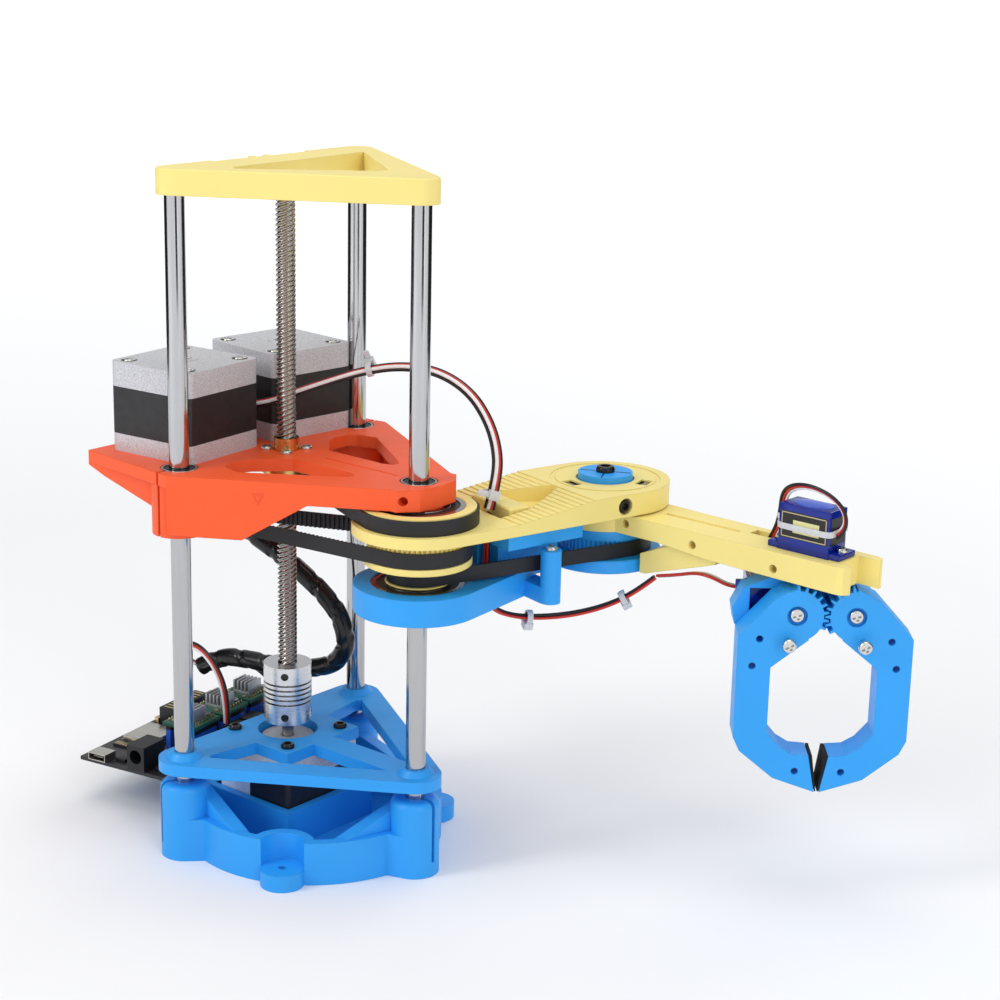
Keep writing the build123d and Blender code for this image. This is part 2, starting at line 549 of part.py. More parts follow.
# ---- forearm ------------------------------------------------------------------------------
def forearm_beam():
    top, under = FOREARM_TOP, FOREARM_UNDER
    near, far = NEAR_PRONG, FAR_PRONG
    outline = [(0, -14), (16, -11.6), (near - 4, -11.2), (near - 1.2, -10.4), (near, -8), (near, 0)]
    outline += [(far, 1), (far, 8.5), (far - 1.2, 10.6), (far - 4, 11.6), (40, 13.5), (0, 16)]
    body = prism(outline, 134.0, top) + cyl((0, 0), 134.0, top, 19.0)
    taper = [(30, 134.5), (far, 134.5), (far, 130.9), (60, under)]
    lower = plate_xz(taper, 11.6)
    lower = lower & prism(outline, 120, 140)
    body += lower
    body += cyl((0, 0), top - 1, 151.4, RACE_BORE - FIT)
    # pocket for the wrist servo, and the fork beyond it
    body -= block(SERVO_START, SERVO_END, -SERVO[1] / 2 - 0.2, SERVO[1] / 2 + 0.2, 120, 150)
    body -= block(SERVO_END + 5.5, FAR_PRONG + 1, -FORK_GAP, FORK_GAP, 120, 150)
    body -= block(52, SERVO_START - 8, -4, 4, 120, top - 5)
    body -= block(30, 66, 1.4, 3.2, top - 1.6, top + 1)
    body -= block(20, 21.5, -6, 10, top - 0.8, top + 1)
    body -= block(70, 84, 3.4, 9.0, top - 6, top + 1)
    for s, z in ((20, 138.5), (53, 136.5), (91, 135.0)):
        body -= Pos(s, -10, z) * (Rot(90, 0, 0) * Cylinder(1.7, 14))
    for s in SERVO_HOLES:
        body -= cyl((s, 0), 130, top + 1, 0.9)
    # brace from the elbow pulley up to the underside of the beam
    rise = [(19, 118.5), (28, 118.5), (62, 129.5), (62, 134.5), (44, 134.5), (24, 126.0), (19, 126.0)]
    brace = plate_xz(rise, 8) - cyl((0, 0), 100, 134.0, 26.5)
    body += brace
    body -= cyl((0, 0), 100, 160, 4.0)
    return on_forearm(body)


def elbow_pulley():
    r = pulley_r(ELBOW_TEETH)
    body = cyl((0, 0), 117.6, 123.2, 24.0) + cyl((0, 0), 123.2, 134.0, r)
    body += block(20, 30, -8, 8, 118.5, 122.8) & cyl((0, 0), 118, 124, 26.4)
    return on_forearm(body - cyl((0, 0), 100, 160, 4.0))


def elbow_bolt():
    body = cyl((0, 0), 117.6, 154.5, 4.0) + cyl((0, 0), 151.5, 154.5, 11.25)
    return on_forearm(body)


def servo(shaft_down=True):
    """A micro servo: shaft axis at the origin, tab underside at zero, case above."""
    x0 = SERVO_SHAFT - SERVO[0]
    w = SERVO[1] / 2
    case = block(x0, SERVO_SHAFT, -w, w, SERVO_ABOVE - SERVO[2], SERVO_ABOVE)
    tabs = block(x0 - SERVO_TAB, SERVO_SHAFT + SERVO_TAB, -w, w, 0, SERVO_TAB_THICK)
    for x in (x0 - 2.3, SERVO_SHAFT + 2.3):
        tabs -= cyl((x, 0), -1, SERVO_TAB_THICK + 1, 1.1)
    low = SERVO_ABOVE - SERVO[2]
    boss = cyl((0, 0), low - 4, low, 5.9) + cyl((-6.0, 0), low - 4, low, 2.9)
    return case + tabs + boss - cyl((0, 0), low - 5, low + 4, 2.5)


def wrist_parts():
    nodes = {"wrist_servo": on_forearm(Pos(FOREARM_LENGTH, 0, FOREARM_TOP) * servo())}
    screws = []
    for s in (FOREARM_LENGTH + SERVO_SHAFT + 2.3, FOREARM_LENGTH + SERVO_SHAFT - SERVO[0] - 2.3):
        head = FOREARM_TOP + SERVO_TAB_THICK
        screws.append(on_forearm(cyl((s, 0), head, head + 1.5, 2.1) + cyl((s, 0), head - 7, head, 0.85)))
    nodes["wrist_servo_screws"] = group(screws)
    return nodes


# ---- gripper --------------------------------------------------------------------------------
def upright(points, back, front):
    """A plate in the gripper's plane: points are (across, height), faces at back and front."""
    face = make_face(Polyline(*points, close=True))
    return Pos(0, -back, 0) * extrude(Plane.XZ * face, amount=front - back)


def boss_y(x, z, back, front, r):
    """A round boss along the facing of the gripper."""
    return Pos(x, -(back + front) / 2, z) * (Rot(90, 0, 0) * Cylinder(r, front - back))




def jaw(side):
    """side is 1 for the right jaw and -1 for the left one."""
    def put(x, z):
        return (side * x, JAW_Z + z)
    pivot = put(JAW_PITCH_R, 0)
    body = upright([put(x, z) for x, z in JAW_OUTLINE], JAW_BACK, JAW_FRONT)
    root, tip = JAW_PITCH_R - 1.2, JAW_PITCH_R + 0.8
    body += boss_y(*pivot, JAW_BACK, JAW_FRONT, root)
    step = 360 / JAW_TEETH
    first = 0.0 if side > 0 else 0.5
    for k in TEETH_CUT:
        angle = 180 - (k + first) * step if side > 0 else (k + first) * step
        wide, narrow = 4.4, 1.7
        tooth = [
            polar(root - 0.6, angle - wide, pivot), polar(tip, angle - narrow, pivot),
            polar(tip, angle + narrow, pivot), polar(root - 0.6, angle + wide, pivot),
        ]
        body += upright(tooth, JAW_BACK, JAW_FRONT)
    body -= boss_y(*pivot, JAW_BACK - 1, JAW_FRONT + 1, 2.0 + FIT)
    body -= boss_y(*pivot, JAW_FRONT - 2.2, JAW_FRONT + 1, 3.9)
    for x, z in JAW_HOLES:
        body -= boss_y(*put(x, z), JAW_BACK - 1, JAW_FRONT + 1, 1.4)
    body -= boss_y(*put(*GRIP_SCREW), JAW_BACK - 1, JAW_FRONT + 1, 1.4)
    return on_wrist(body)


def jaw_pad(side):
    """Foam strip on the slanted tip of a jaw."""
    pts = [(side * x, JAW_Z + z) for x, z in ((3.7, -56.9), (0.8, -71.8), (0.25, -71.8), (2.4, -56.9))]
    return on_wrist(upright(pts, JAW_BACK + 0.5, JAW_FRONT - 0.3))


def jaw_screws(side):
    x, z = GRIP_SCREW
    out = boss_y(side * x, JAW_Z + z, JAW_BACK + 2, JAW_FRONT + 4.5, 1.4)
    return on_wrist(out + boss_y(side * x, JAW_Z + z, JAW_FRONT + 4.5, JAW_FRONT + 6.5, 2.7))


def gripper_frame():
    back, front = JAW_BACK - 0.5 - FRAME_DEEP, JAW_BACK - 0.5
    low, high = JAW_Z - 10.0, 129.6
    outline = [(-30, low - 4), (-22, low - 7), (-10, low), (12, low + 1), (18, low + 6), (18, high - 3)]
    outline += [(13, high), (-20, high), (-31, high - 5), (-35, high - 13), (-34, low + 2)]
    body = upright(outline, back, front)
    x0, x1 = -JAW_PITCH_R + SERVO_SHAFT + 0.2, -JAW_PITCH_R + SERVO_SHAFT - SERVO[0] - 0.2
    w = SERVO[1] / 2 + 0.2
    body -= block(x1, x0, -front - 1, -back + 1, JAW_Z - w, JAW_Z + w)
    body += boss_y(JAW_PITCH_R, JAW_Z, front, JAW_FRONT - 2.4, 2.0)
    # bridge over the meshed gears to the wrist horn
    body += block(-3.6, 3.6, -3.6, -front + 4, 129.2, 130.5)
    body += block(-3.6, 3.6, -front, -front + 4, high - 1, 130.5)
    return on_wrist(body)


def gripper_servo():
    body = servo()
    # shaft along the gripper's facing, case to the left of the left pivot
    turned = Rot(-90, 0, 0) * body
    seat = -(JAW_BACK - 0.5 - FRAME_DEEP)
    return on_wrist(Pos(-JAW_PITCH_R, seat, JAW_Z) * turned)


def gripper_screws():
    low = JAW_FRONT - 2.1
    heads = [boss_y(side * JAW_PITCH_R, JAW_Z, low, low + 1.8, 2.9) for side in (1, -1)]
    return group([on_wrist(head) for head in heads])


# ---- shaft coupler ----------------------------------------------------------------------------
def across_screw(spot, z, turn, r, length):
    """A cylinder lying level, pointing the way the angle turn says."""
    return Pos(spot[0], spot[1], z) * (Rot(0, 0, turn) * (Rot(0, 90, 0) * Cylinder(r, length)))


def coupler():
    body = cyl(SCREW, 46.5, 71.5, 10.0)
    for k in range(5):
        ring = tube(SCREW, 55 + 2.1 * k, 55.8 + 2.1 * k, 11, 6.5)
        body -= ring
    body -= cyl(SCREW, 40, 59, SHAFT_R) + cyl(SCREW, 59, 80, SCREW_R)
    for z in (50.0, 68.0):
        for turn in (-52.0, 38.0):
            spot = polar(7.0, turn, SCREW)
            body -= across_screw(spot, z, turn, 1.6, 10)
    return body


def coupler_screws():
    screws = []
    for z in (50.0, 68.0):
        for turn in (-52.0, 38.0):
            hole = SHAFT_R if z < 59 else SCREW_R
            spot = polar((hole + 9.2) / 2, turn, SCREW)
            screws.append(across_screw(spot, z, turn, 1.55, 9.2 - hole - 0.4))
    return group(screws)


def frame_screws():
    screws = []
    for sx in (-1, 1):
        for sy in (-1, 1):
            spot = (SCREW[0] + sx * MOTOR_BOLT, sy * MOTOR_BOLT)
            screws.append(socket_screw(spot, PLATE[1] + 1.8, 2.8, 1.8, 1.5, PLATE[1] - PLATE[0]))
    for spot in BOARD_HOLES:
        place = on_board_point(*spot)
        screws.append(socket_screw(place, BOARD_Z + BOARD_THICK + 1.6, 2.7, 1.6, 1.2, 6.5))
    return group(screws)


# ---- cords ---------------------------------------------------------------------------------------
def bend_radii(points):
    """The largest arc that each corner of a route has room for: 0.45 of its shorter run."""
    radii = []
    for before, corner, after in zip(points, points[1:], points[2:]):
        arrive, leave = Vector(*corner) - Vector(*before), Vector(*after) - Vector(*corner)
        half_turn = radians(arrive.get_angle(leave) / 2)
        radii.append(0.45 * min(arrive.length, leave.length) / tan(half_turn))
    return radii


def cord(name):
    """A round cord along straight runs joined by tangent arcs."""
    diameter, points = CORDS[name]
    radii = bend_radii(points)
    path = FilletPolyline(*points, radius=radii)
    start = Vector(*points[1]) - Vector(*points[0])
    section = Plane(origin=points[0], z_dir=start) * Circle(diameter / 2)
    solid = sweep(section, path=path)
    full = pi * diameter**2 / 4 * path.length
    print(f"{name}: {path.length:.1f} mm long, tightest bend {min(radii) / diameter:.1f} diameters,",
          f"volume {solid.volume / full:.4f} of section x length,",
          "radii", " ".join(f"{r:.0f}" for r in radii))
    return solid


def build():
    nodes = {
        "base_frame": base_frame(),
        "motor_plate": motor_plate(),
        "guide_rods": group([cyl(spot, ROD_BOTTOM, ROD_TOP, ROD_R) for spot in RODS.values()]),
        "top_plate": top_plate(),
        "frame_screws": frame_screws(),
    }
    caps, core = motor_parts(*SCREW, 0, *Z_MOTOR, 9, 8.5, True)
    nodes["z_motor_caps"] = group(caps)
    nodes["z_motor_core"] = core
    nodes.update(board_parts())

    nodes["lead_screw"] = cyl(SCREW, 60.0, 274.0, SCREW_R)
    nodes["z_motor_shaft"] = cyl(SCREW, Z_MOTOR[0] + 14, 58.0, SHAFT_R)
    nodes["shaft_coupler"] = coupler()
    nodes["coupler_screws"] = coupler_screws()

    nodes["carriage_plate"] = carriage_plate()
    low = DECK[1] - BEARING_LENGTH
    bearings = [tube(spot, low, DECK[1], BEARING_R, ROD_R + FIT) for spot in RODS.values()]
    nodes["linear_bearings"] = group(bearings)
    nodes["lead_nut"] = lead_nut()
    nodes["carriage_screws"] = carriage_screws()
    caps, cores = [], []
    for x, y, turn in ARM_MOTORS.values():
        pair, core = motor_parts(x, y, turn, DECK[1], ARM_MOTOR_TOP, 7.3, 10.0, False)
        caps += pair
        cores.append(core)
    nodes["arm_motor_caps"] = group(caps)
    nodes["arm_motor_cores"] = group(cores)
    nodes["shoulder_column"] = shoulder_column()
    nodes["column_clip"] = tube(SHOULDER, 108.4, 111.4, 12.5, 8.5)
    right, left = ARM_MOTORS["right"][:2], ARM_MOTORS["left"][:2]
    small = pulley_r(MOTOR_TEETH)
    nodes["shoulder_belt"] = belt(right, SHOULDER, small, pulley_r(SHOULDER_TEETH), SHOULDER_BELT_Z)
    nodes["drive_belt"] = belt(left, SHOULDER, small, pulley_r(DRIVE_TEETH), DRIVE_BELT_Z)
    nodes["shoulder_motor_pulley"] = motor_pulley("right", SHOULDER_BELT_Z)
    nodes["drive_motor_pulley"] = motor_pulley("left", DRIVE_BELT_Z)

    nodes["transfer_pulley"] = transfer_pulley()
    nodes["upper_arm"] = upper_arm()
    nodes["lower_arm"] = lower_arm()
    nodes["shoulder_bearings"] = group([
        ball_bearing(SHOULDER, HUB_TOP - RACE_WIDTH),
        ball_bearing(SHOULDER, LOWER_ARM[1] - RACE_WIDTH - 0.3),
    ])
    nodes["elbow_bearing"] = ball_bearing(ELBOW, ARM_TOP - 0.8 - RACE_WIDTH)
    ends = pulley_r(TRANSFER_TEETH), pulley_r(ELBOW_TEETH)
    nodes["forearm_belt"] = belt(SHOULDER, ELBOW, *ends, FOREARM_BELT_Z)
    nodes["arm_screws"] = arm_screws()

    nodes["forearm_beam"] = forearm_beam()
    nodes["elbow_pulley"] = elbow_pulley()
    nodes["elbow_cap"] = elbow_bolt()
    nodes.update(wrist_parts())

    nodes["gripper_frame"] = gripper_frame()
    nodes["gripper_servo"] = gripper_servo()
    nodes["gripper_screws"] = gripper_screws()
    for name, side in (("left", -1), ("right", 1)):
        nodes[f"jaw_{name}"] = jaw(side)
        nodes[f"jaw_pad_{name}"] = jaw_pad(side)
        nodes[f"jaw_screw_{name}"] = jaw_screws(side)
    for name in CORDS:
        nodes[name] = cord(name)
    return nodes


os.makedirs("parts", exist_ok=True)
for node, shape in build().items():
    export_step(shape, f"parts/{node}.step")
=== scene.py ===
import json
import math
import random

import bmesh
import bpy
from mathutils import Matrix, Vector


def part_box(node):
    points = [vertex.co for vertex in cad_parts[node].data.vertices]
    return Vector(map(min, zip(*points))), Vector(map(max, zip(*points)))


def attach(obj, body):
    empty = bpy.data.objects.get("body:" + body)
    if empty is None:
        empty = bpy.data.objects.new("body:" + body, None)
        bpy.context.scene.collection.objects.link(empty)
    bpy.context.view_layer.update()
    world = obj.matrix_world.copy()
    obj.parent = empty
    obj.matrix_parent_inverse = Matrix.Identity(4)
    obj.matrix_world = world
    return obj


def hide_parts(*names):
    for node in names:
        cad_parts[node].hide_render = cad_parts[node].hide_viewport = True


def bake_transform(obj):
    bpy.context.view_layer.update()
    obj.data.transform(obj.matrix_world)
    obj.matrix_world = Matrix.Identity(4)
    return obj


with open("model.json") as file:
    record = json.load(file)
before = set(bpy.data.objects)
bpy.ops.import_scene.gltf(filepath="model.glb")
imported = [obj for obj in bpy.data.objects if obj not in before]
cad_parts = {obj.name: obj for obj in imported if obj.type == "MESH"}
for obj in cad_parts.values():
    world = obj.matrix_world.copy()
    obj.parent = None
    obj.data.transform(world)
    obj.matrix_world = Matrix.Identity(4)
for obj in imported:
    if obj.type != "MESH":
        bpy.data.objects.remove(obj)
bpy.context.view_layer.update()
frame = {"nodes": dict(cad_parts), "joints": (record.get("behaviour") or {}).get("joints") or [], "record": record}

MM = 0.001  # shapes are drawn in millimetres and become metres in Shape.piece
NODES = frame["nodes"]
JOINTS = {joint["name"]: joint for joint in frame["joints"]}
SCENE = bpy.context.scene
Z_AXIS = Vector((0, 0, 1))
random.seed(7)


def joint_spot(name):
    return Vector([v / MM for v in JOINTS[name]["pos_m"]])


def node_box(name):
    """Lowest and highest corners of a CAD node, in millimetres."""
    low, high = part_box(name)
    return Vector(low) / MM, Vector(high) / MM


SHOULDER, ELBOW, WRIST = (joint_spot(name) for name in ("shoulder", "elbow", "wrist"))
SCREW = joint_spot("lead_screw_spin")
JAW_PIVOTS = [joint_spot("jaw_left_swing"), joint_spot("jaw_right_swing")]
UPPER_ARM_TURN = math.atan2(ELBOW.y - SHOULDER.y, ELBOW.x - SHOULDER.x)
FOREARM_TURN = math.atan2(WRIST.y - ELBOW.y, WRIST.x - ELBOW.x)
GRIPPER_TURN = math.atan2(JAW_PIVOTS[1].y - JAW_PIVOTS[0].y, JAW_PIVOTS[1].x - JAW_PIVOTS[0].x)


# ---- camera, lights, floor --------------------------------------------------------------
def place_camera():
    """The studio camera: where it stands, how it is turned, and its lens."""
    azimuth, pitch, roll = math.radians(39.39), math.radians(15.52), math.radians(1.274)
    reach = math.cos(pitch)
    back = Vector((math.sin(azimuth) * reach, -math.cos(azimuth) * reach, math.sin(pitch)))
    right = (-back).cross(Z_AXIS).normalized()
    up = right.cross(-back)
    level, lift = right, up
    right = level * math.cos(roll) + lift * math.sin(roll)
    up = lift * math.cos(roll) - level * math.sin(roll)
    lens = bpy.data.cameras.new("camera")
    lens.sensor_width = 36.0
    lens.lens = 78.16
    lens.clip_end = 100.0
    camera = bpy.data.objects.new("camera", lens)
    SCENE.collection.objects.link(camera)
    turn = Matrix((right, up, back)).transposed().to_4x4()
    camera.matrix_world = Matrix.Translation((0.5932, -0.6047, 0.3805)) @ turn
    SCENE.camera = camera


def area_light(name, spot, target, size, power):
    data = bpy.data.lights.new(name, "AREA")
    data.shape = "RECTANGLE"
    data.size, data.size_y = size
    data.energy = power
    light = bpy.data.objects.new(name, data)
    SCENE.collection.objects.link(light)
    light.location = spot
    aim = Vector(target) - Vector(spot)
    light.rotation_euler = aim.to_track_quat("-Z", "Y").to_euler()
    light.visible_camera = False


def place_lights():
    world = bpy.data.worlds.new("studio")
    SCENE.world = world
    world.use_nodes = True
    background = world.node_tree.nodes["Background"]
    background.inputs["Color"].default_value = (0.95, 0.97, 1.0, 1)
    background.inputs["Strength"].default_value = 0.6
    centre = (0.05, 0.0, 0.15)
    area_light("key", (-0.6, -1.3, 1.1), centre, (0.5, 1.2), 10)
    area_light("fill", (1.6, -0.7, 0.7), centre, (0.5, 1.3), 6.5)
    area_light("back", (0.2, 1.7, 1.2), centre, (1.6, 0.8), 7)
    area_light("top", (0.1, 0.0, 2.0), centre, (1.3, 1.3), 10)
    SCENE.view_settings.view_transform = "Standard"


def stage_sheet(name, corners):
    mesh = bpy.data.meshes.new(name)
    mesh.from_pydata(corners, [], [(0, 1, 2, 3)])
    sheet = bpy.data.objects.new(name, mesh)
    SCENE.collection.objects.link(sheet)
    return sheet


# Black cards: distance in metres, degrees round from the camera, half width, height.
FLAGS = ((0.95, 112, 0.62, 1.0), (0.95, -116, 0.62, 1.0), (1.25, 20, 0.24, 1.0))


def place_flags():
    """Black cards out of shot: they give bare metal its dark edges."""
    mat, nt, shader = new_material("flag_cloth")
    set_shader(shader, **{"Base Color": (0.004, 0.004, 0.004, 1), "Roughness": 0.9})
    bump(nt, shader, noise_at(nt, 300.0), 0.1, 0.001)
    for k, (away, turn, wide, tall) in enumerate(FLAGS):
        a = math.radians(39.39 - 90 + turn)
        out, along = Vector((math.cos(a), math.sin(a), 0)), Vector((-math.sin(a), math.cos(a), 0))
        feet = [out * away - along * wide, out * away + along * wide]
        card = stage_sheet(f"flag_{k}", [feet[0], feet[1], feet[1] + Z_AXIS * tall, feet[0] + Z_AXIS * tall])
        card.data.materials.append(mat)
        card.visible_camera = False
        card.visible_diffuse = False
        card.visible_shadow = False


def place_floor():
    half = 30.0
    floor = stage_sheet("floor", [(-half, -half, 0), (half, -half, 0), (half, half, 0), (-half, half, 0)])
    mat, nt, shader = new_material("floor_paper")
    noise = add_node(nt, "ShaderNodeTexNoise", Scale=900.0, Detail=3.0)
    nt.links.new(coords(nt), noise.inputs["Vector"])
    bump(nt, shader, noise.outputs["Fac"], 0.04, 0.0002)
    # painted light: the paper glows, up to a limit, more the further it lies from the middle of the floor, so that
    # it stays white far off
    away = nt.nodes.new("ShaderNodeVectorMath")
    away.operation = "LENGTH"
    nt.links.new(coords(nt), away.inputs[0])
    painted_glow = maths(nt, "MINIMUM", maths(nt, "MAXIMUM", maths(nt, "MULTIPLY", maths(
        nt, "SUBTRACT", away.outputs["Value"], 0.5), 0.3), 0.0), 0.6)
    # painted light: this emission strength is the painted glow of the far paper
    nt.links.new(painted_glow, shader.inputs["Emission Strength"])
    paper, white = (0.9, 0.9, 0.905, 1), (1, 1, 1, 1)
    set_shader(shader, **{"Base Color": paper, "Roughness": 0.9, "Emission Color": white})
    floor.data.materials.append(mat)


# ---- material helpers ---------------------------------------------------------------------
def new_material(name):
    mat = bpy.data.materials.new(name)
    mat.use_nodes = True
    return mat, mat.node_tree, mat.node_tree.nodes["Principled BSDF"]


def add_node(nt, kind, **values):
    made = nt.nodes.new(kind)
    for key, value in values.items():
        made.inputs[key].default_value = value
    return made


def coords(nt, kind="Object"):
    return nt.nodes.new("ShaderNodeTexCoord").outputs[kind]


def set_shader(shader, **values):
    for key, value in values.items():
        shader.inputs[key].default_value = value


def bump(nt, shader, height, strength, distance, chain=None):
    made = nt.nodes.new("ShaderNodeBump")
    made.inputs["Strength"].default_value = strength
    made.inputs["Distance"].default_value = distance
    nt.links.new(height, made.inputs["Height"])
    if chain is not None:
        nt.links.new(chain, made.inputs["Normal"])
    nt.links.new(made.outputs["Normal"], shader.inputs["Normal"])
    return made.outputs["Normal"]


def maths(nt, operation, a, b=None):
    made = nt.nodes.new("ShaderNodeMath")
    made.operation = operation
    for index, value in enumerate((a, b)):
        if isinstance(value, (int, float)):
            made.inputs[index].default_value = value
        elif value is not None:
            nt.links.new(value, made.inputs[index])
    return made.outputs[0]


def mixed(nt, factor, a, b):
    made = nt.nodes.new("ShaderNodeMix")
    made.data_type = "RGBA"
    nt.links.new(factor, made.inputs[0])
    made.inputs[6].default_value = a
    made.inputs[7].default_value = b
    return made.outputs[2]


def shade(colour, k):
    return tuple(min(1.0, c * k) for c in colour[:3]) + (1,)


def noise_at(nt, scale, detail=3.0, rough=0.5, stretch=None):
    noise = add_node(nt, "ShaderNodeTexNoise", Scale=scale, Detail=detail, Roughness=rough)
    place = coords(nt)
    if stretch:
        mapping = nt.nodes.new("ShaderNodeMapping")
        mapping.inputs["Scale"].default_value = stretch
        nt.links.new(place, mapping.inputs["Vector"])
        place = mapping.outputs[0]
    nt.links.new(place, noise.inputs["Vector"])
    return noise.outputs["Fac"]


# ---- materials ------------------------------------------------------------------------------
def printed(name, colour, rough=0.42, layer=0.28 * MM, raster=0.45 * MM):
    """Printed plastic: stacked layers on the walls and raster lines on the flats."""
    mat, nt, shader = new_material(name)
    split = nt.nodes.new("ShaderNodeSeparateXYZ")
    nt.links.new(coords(nt), split.inputs[0])
    facing = nt.nodes.new("ShaderNodeSeparateXYZ")
    nt.links.new(coords(nt, "Normal"), facing.inputs[0])
    flat = maths(nt, "POWER", maths(nt, "ABSOLUTE", facing.outputs["Z"]), 6.0)
    wall = maths(nt, "SINE", maths(nt, "MULTIPLY", split.outputs["Z"], 2 * math.pi / layer))
    diagonal = maths(nt, "ADD", split.outputs["X"], split.outputs["Y"])
    lines = maths(nt, "SINE", maths(nt, "MULTIPLY", diagonal, math.sqrt(2) * math.pi / raster))
    both = nt.nodes.new("ShaderNodeMix")
    nt.links.new(flat, both.inputs[0])
    nt.links.new(wall, both.inputs[2])
    nt.links.new(lines, both.inputs[3])
    wander = noise_at(nt, 160.0, 4.0, 0.6)
    tone = noise_at(nt, 26.0)
    level = maths(nt, "ADD", maths(nt, "MULTIPLY", tone, 0.7), maths(nt, "MULTIPLY", both.outputs[0], 0.06))
    nt.links.new(mixed(nt, level, shade(colour, 0.92), shade(colour, 1.07)), shader.inputs["Base Color"])
    gloss = maths(nt, "ADD", maths(nt, "MULTIPLY", wander, 0.16), rough - 0.08)
    nt.links.new(gloss, shader.inputs["Roughness"])
    rounded = add_node(nt, "ShaderNodeBevel", Radius=0.5 * MM)
    rounded.samples = 4
    first = bump(nt, shader, both.outputs[0], 0.16, 0.00004, rounded.outputs[0])
    bump(nt, shader, wander, 0.12, 0.0002, first)
    set_shader(shader, **{"IOR": 1.46, "Subsurface Weight": 0.03, "Subsurface Scale": 0.002})
    return mat


def metal(name, colour, rough, grain=(400.0, 400.0, 30.0), strength=0.05, spread=0.08):
    """Bare metal with a fine grain drawn out along one axis."""
    mat, nt, shader = new_material(name)
    noise = noise_at(nt, 1.0, 5.0, 0.65, grain)
    nt.links.new(mixed(nt, noise, shade(colour, 0.88), shade(colour, 1.08)), shader.inputs["Base Color"])
    gloss = maths(nt, "ADD", maths(nt, "MULTIPLY", noise, spread * 2), rough - spread)
    nt.links.new(gloss, shader.inputs["Roughness"])
    bump(nt, shader, noise, strength, 0.0001)
    set_shader(shader, Metallic=1.0)
    return mat


def speckled(name, colour):
    """Blasted cast aluminium, as on stepper motor end caps."""
    mat, nt, shader = new_material(name)
    ramp = nt.nodes.new("ShaderNodeValToRGB")
    low, high = ramp.color_ramp.elements
    low.position, high.position = 0.38, 0.62
    low.color, high.color = shade(colour, 0.72), shade(colour, 1.25)
    nt.links.new(noise_at(nt, 2600.0, 3.0, 0.7), ramp.inputs[0])
    nt.links.new(ramp.outputs[0], shader.inputs["Base Color"])
    bump(nt, shader, noise_at(nt, 2600.0, 2.0), 0.3, 0.0001)
    set_shader(shader, Metallic=0.35, Roughness=0.5)
    return mat


def plastic(name, colour, rough=0.4, grain=700.0, strength=0.05, clear=0.0):
    """Moulded plastic, rubber or paint with a fine grain; clear lets light through."""
    mat, nt, shader = new_material(name)
    noise = noise_at(nt, grain)
    nt.links.new(mixed(nt, noise, shade(colour, 0.88), shade(colour, 1.12)), shader.inputs["Base Color"])
    gloss = maths(nt, "ADD", maths(nt, "MULTIPLY", noise, 0.12), rough - 0.06)
    nt.links.new(gloss, shader.inputs["Roughness"])
    bump(nt, shader, noise, strength, 0.0002)
    set_shader(shader, **{"Transmission Weight": clear, "IOR": 1.45})
    return mat


def laminated(name):
    """The black stack of thin steel plates in the middle of a motor."""
    mat, nt, shader = new_material(name)
    split = nt.nodes.new("ShaderNodeSeparateXYZ")
    nt.links.new(coords(nt), split.inputs[0])
    stack = maths(nt, "SINE", maths(nt, "MULTIPLY", split.outputs["Z"], 2 * math.pi / (0.5 * MM)))
    dust = noise_at(nt, 300.0)
    clean, dusty = (0.006, 0.006, 0.007, 1), (0.024, 0.024, 0.026, 1)
    nt.links.new(mixed(nt, dust, clean, dusty), shader.inputs["Base Color"])
    bump(nt, shader, stack, 0.3, 0.00005)
    set_shader(shader, Roughness=0.42)
    return mat


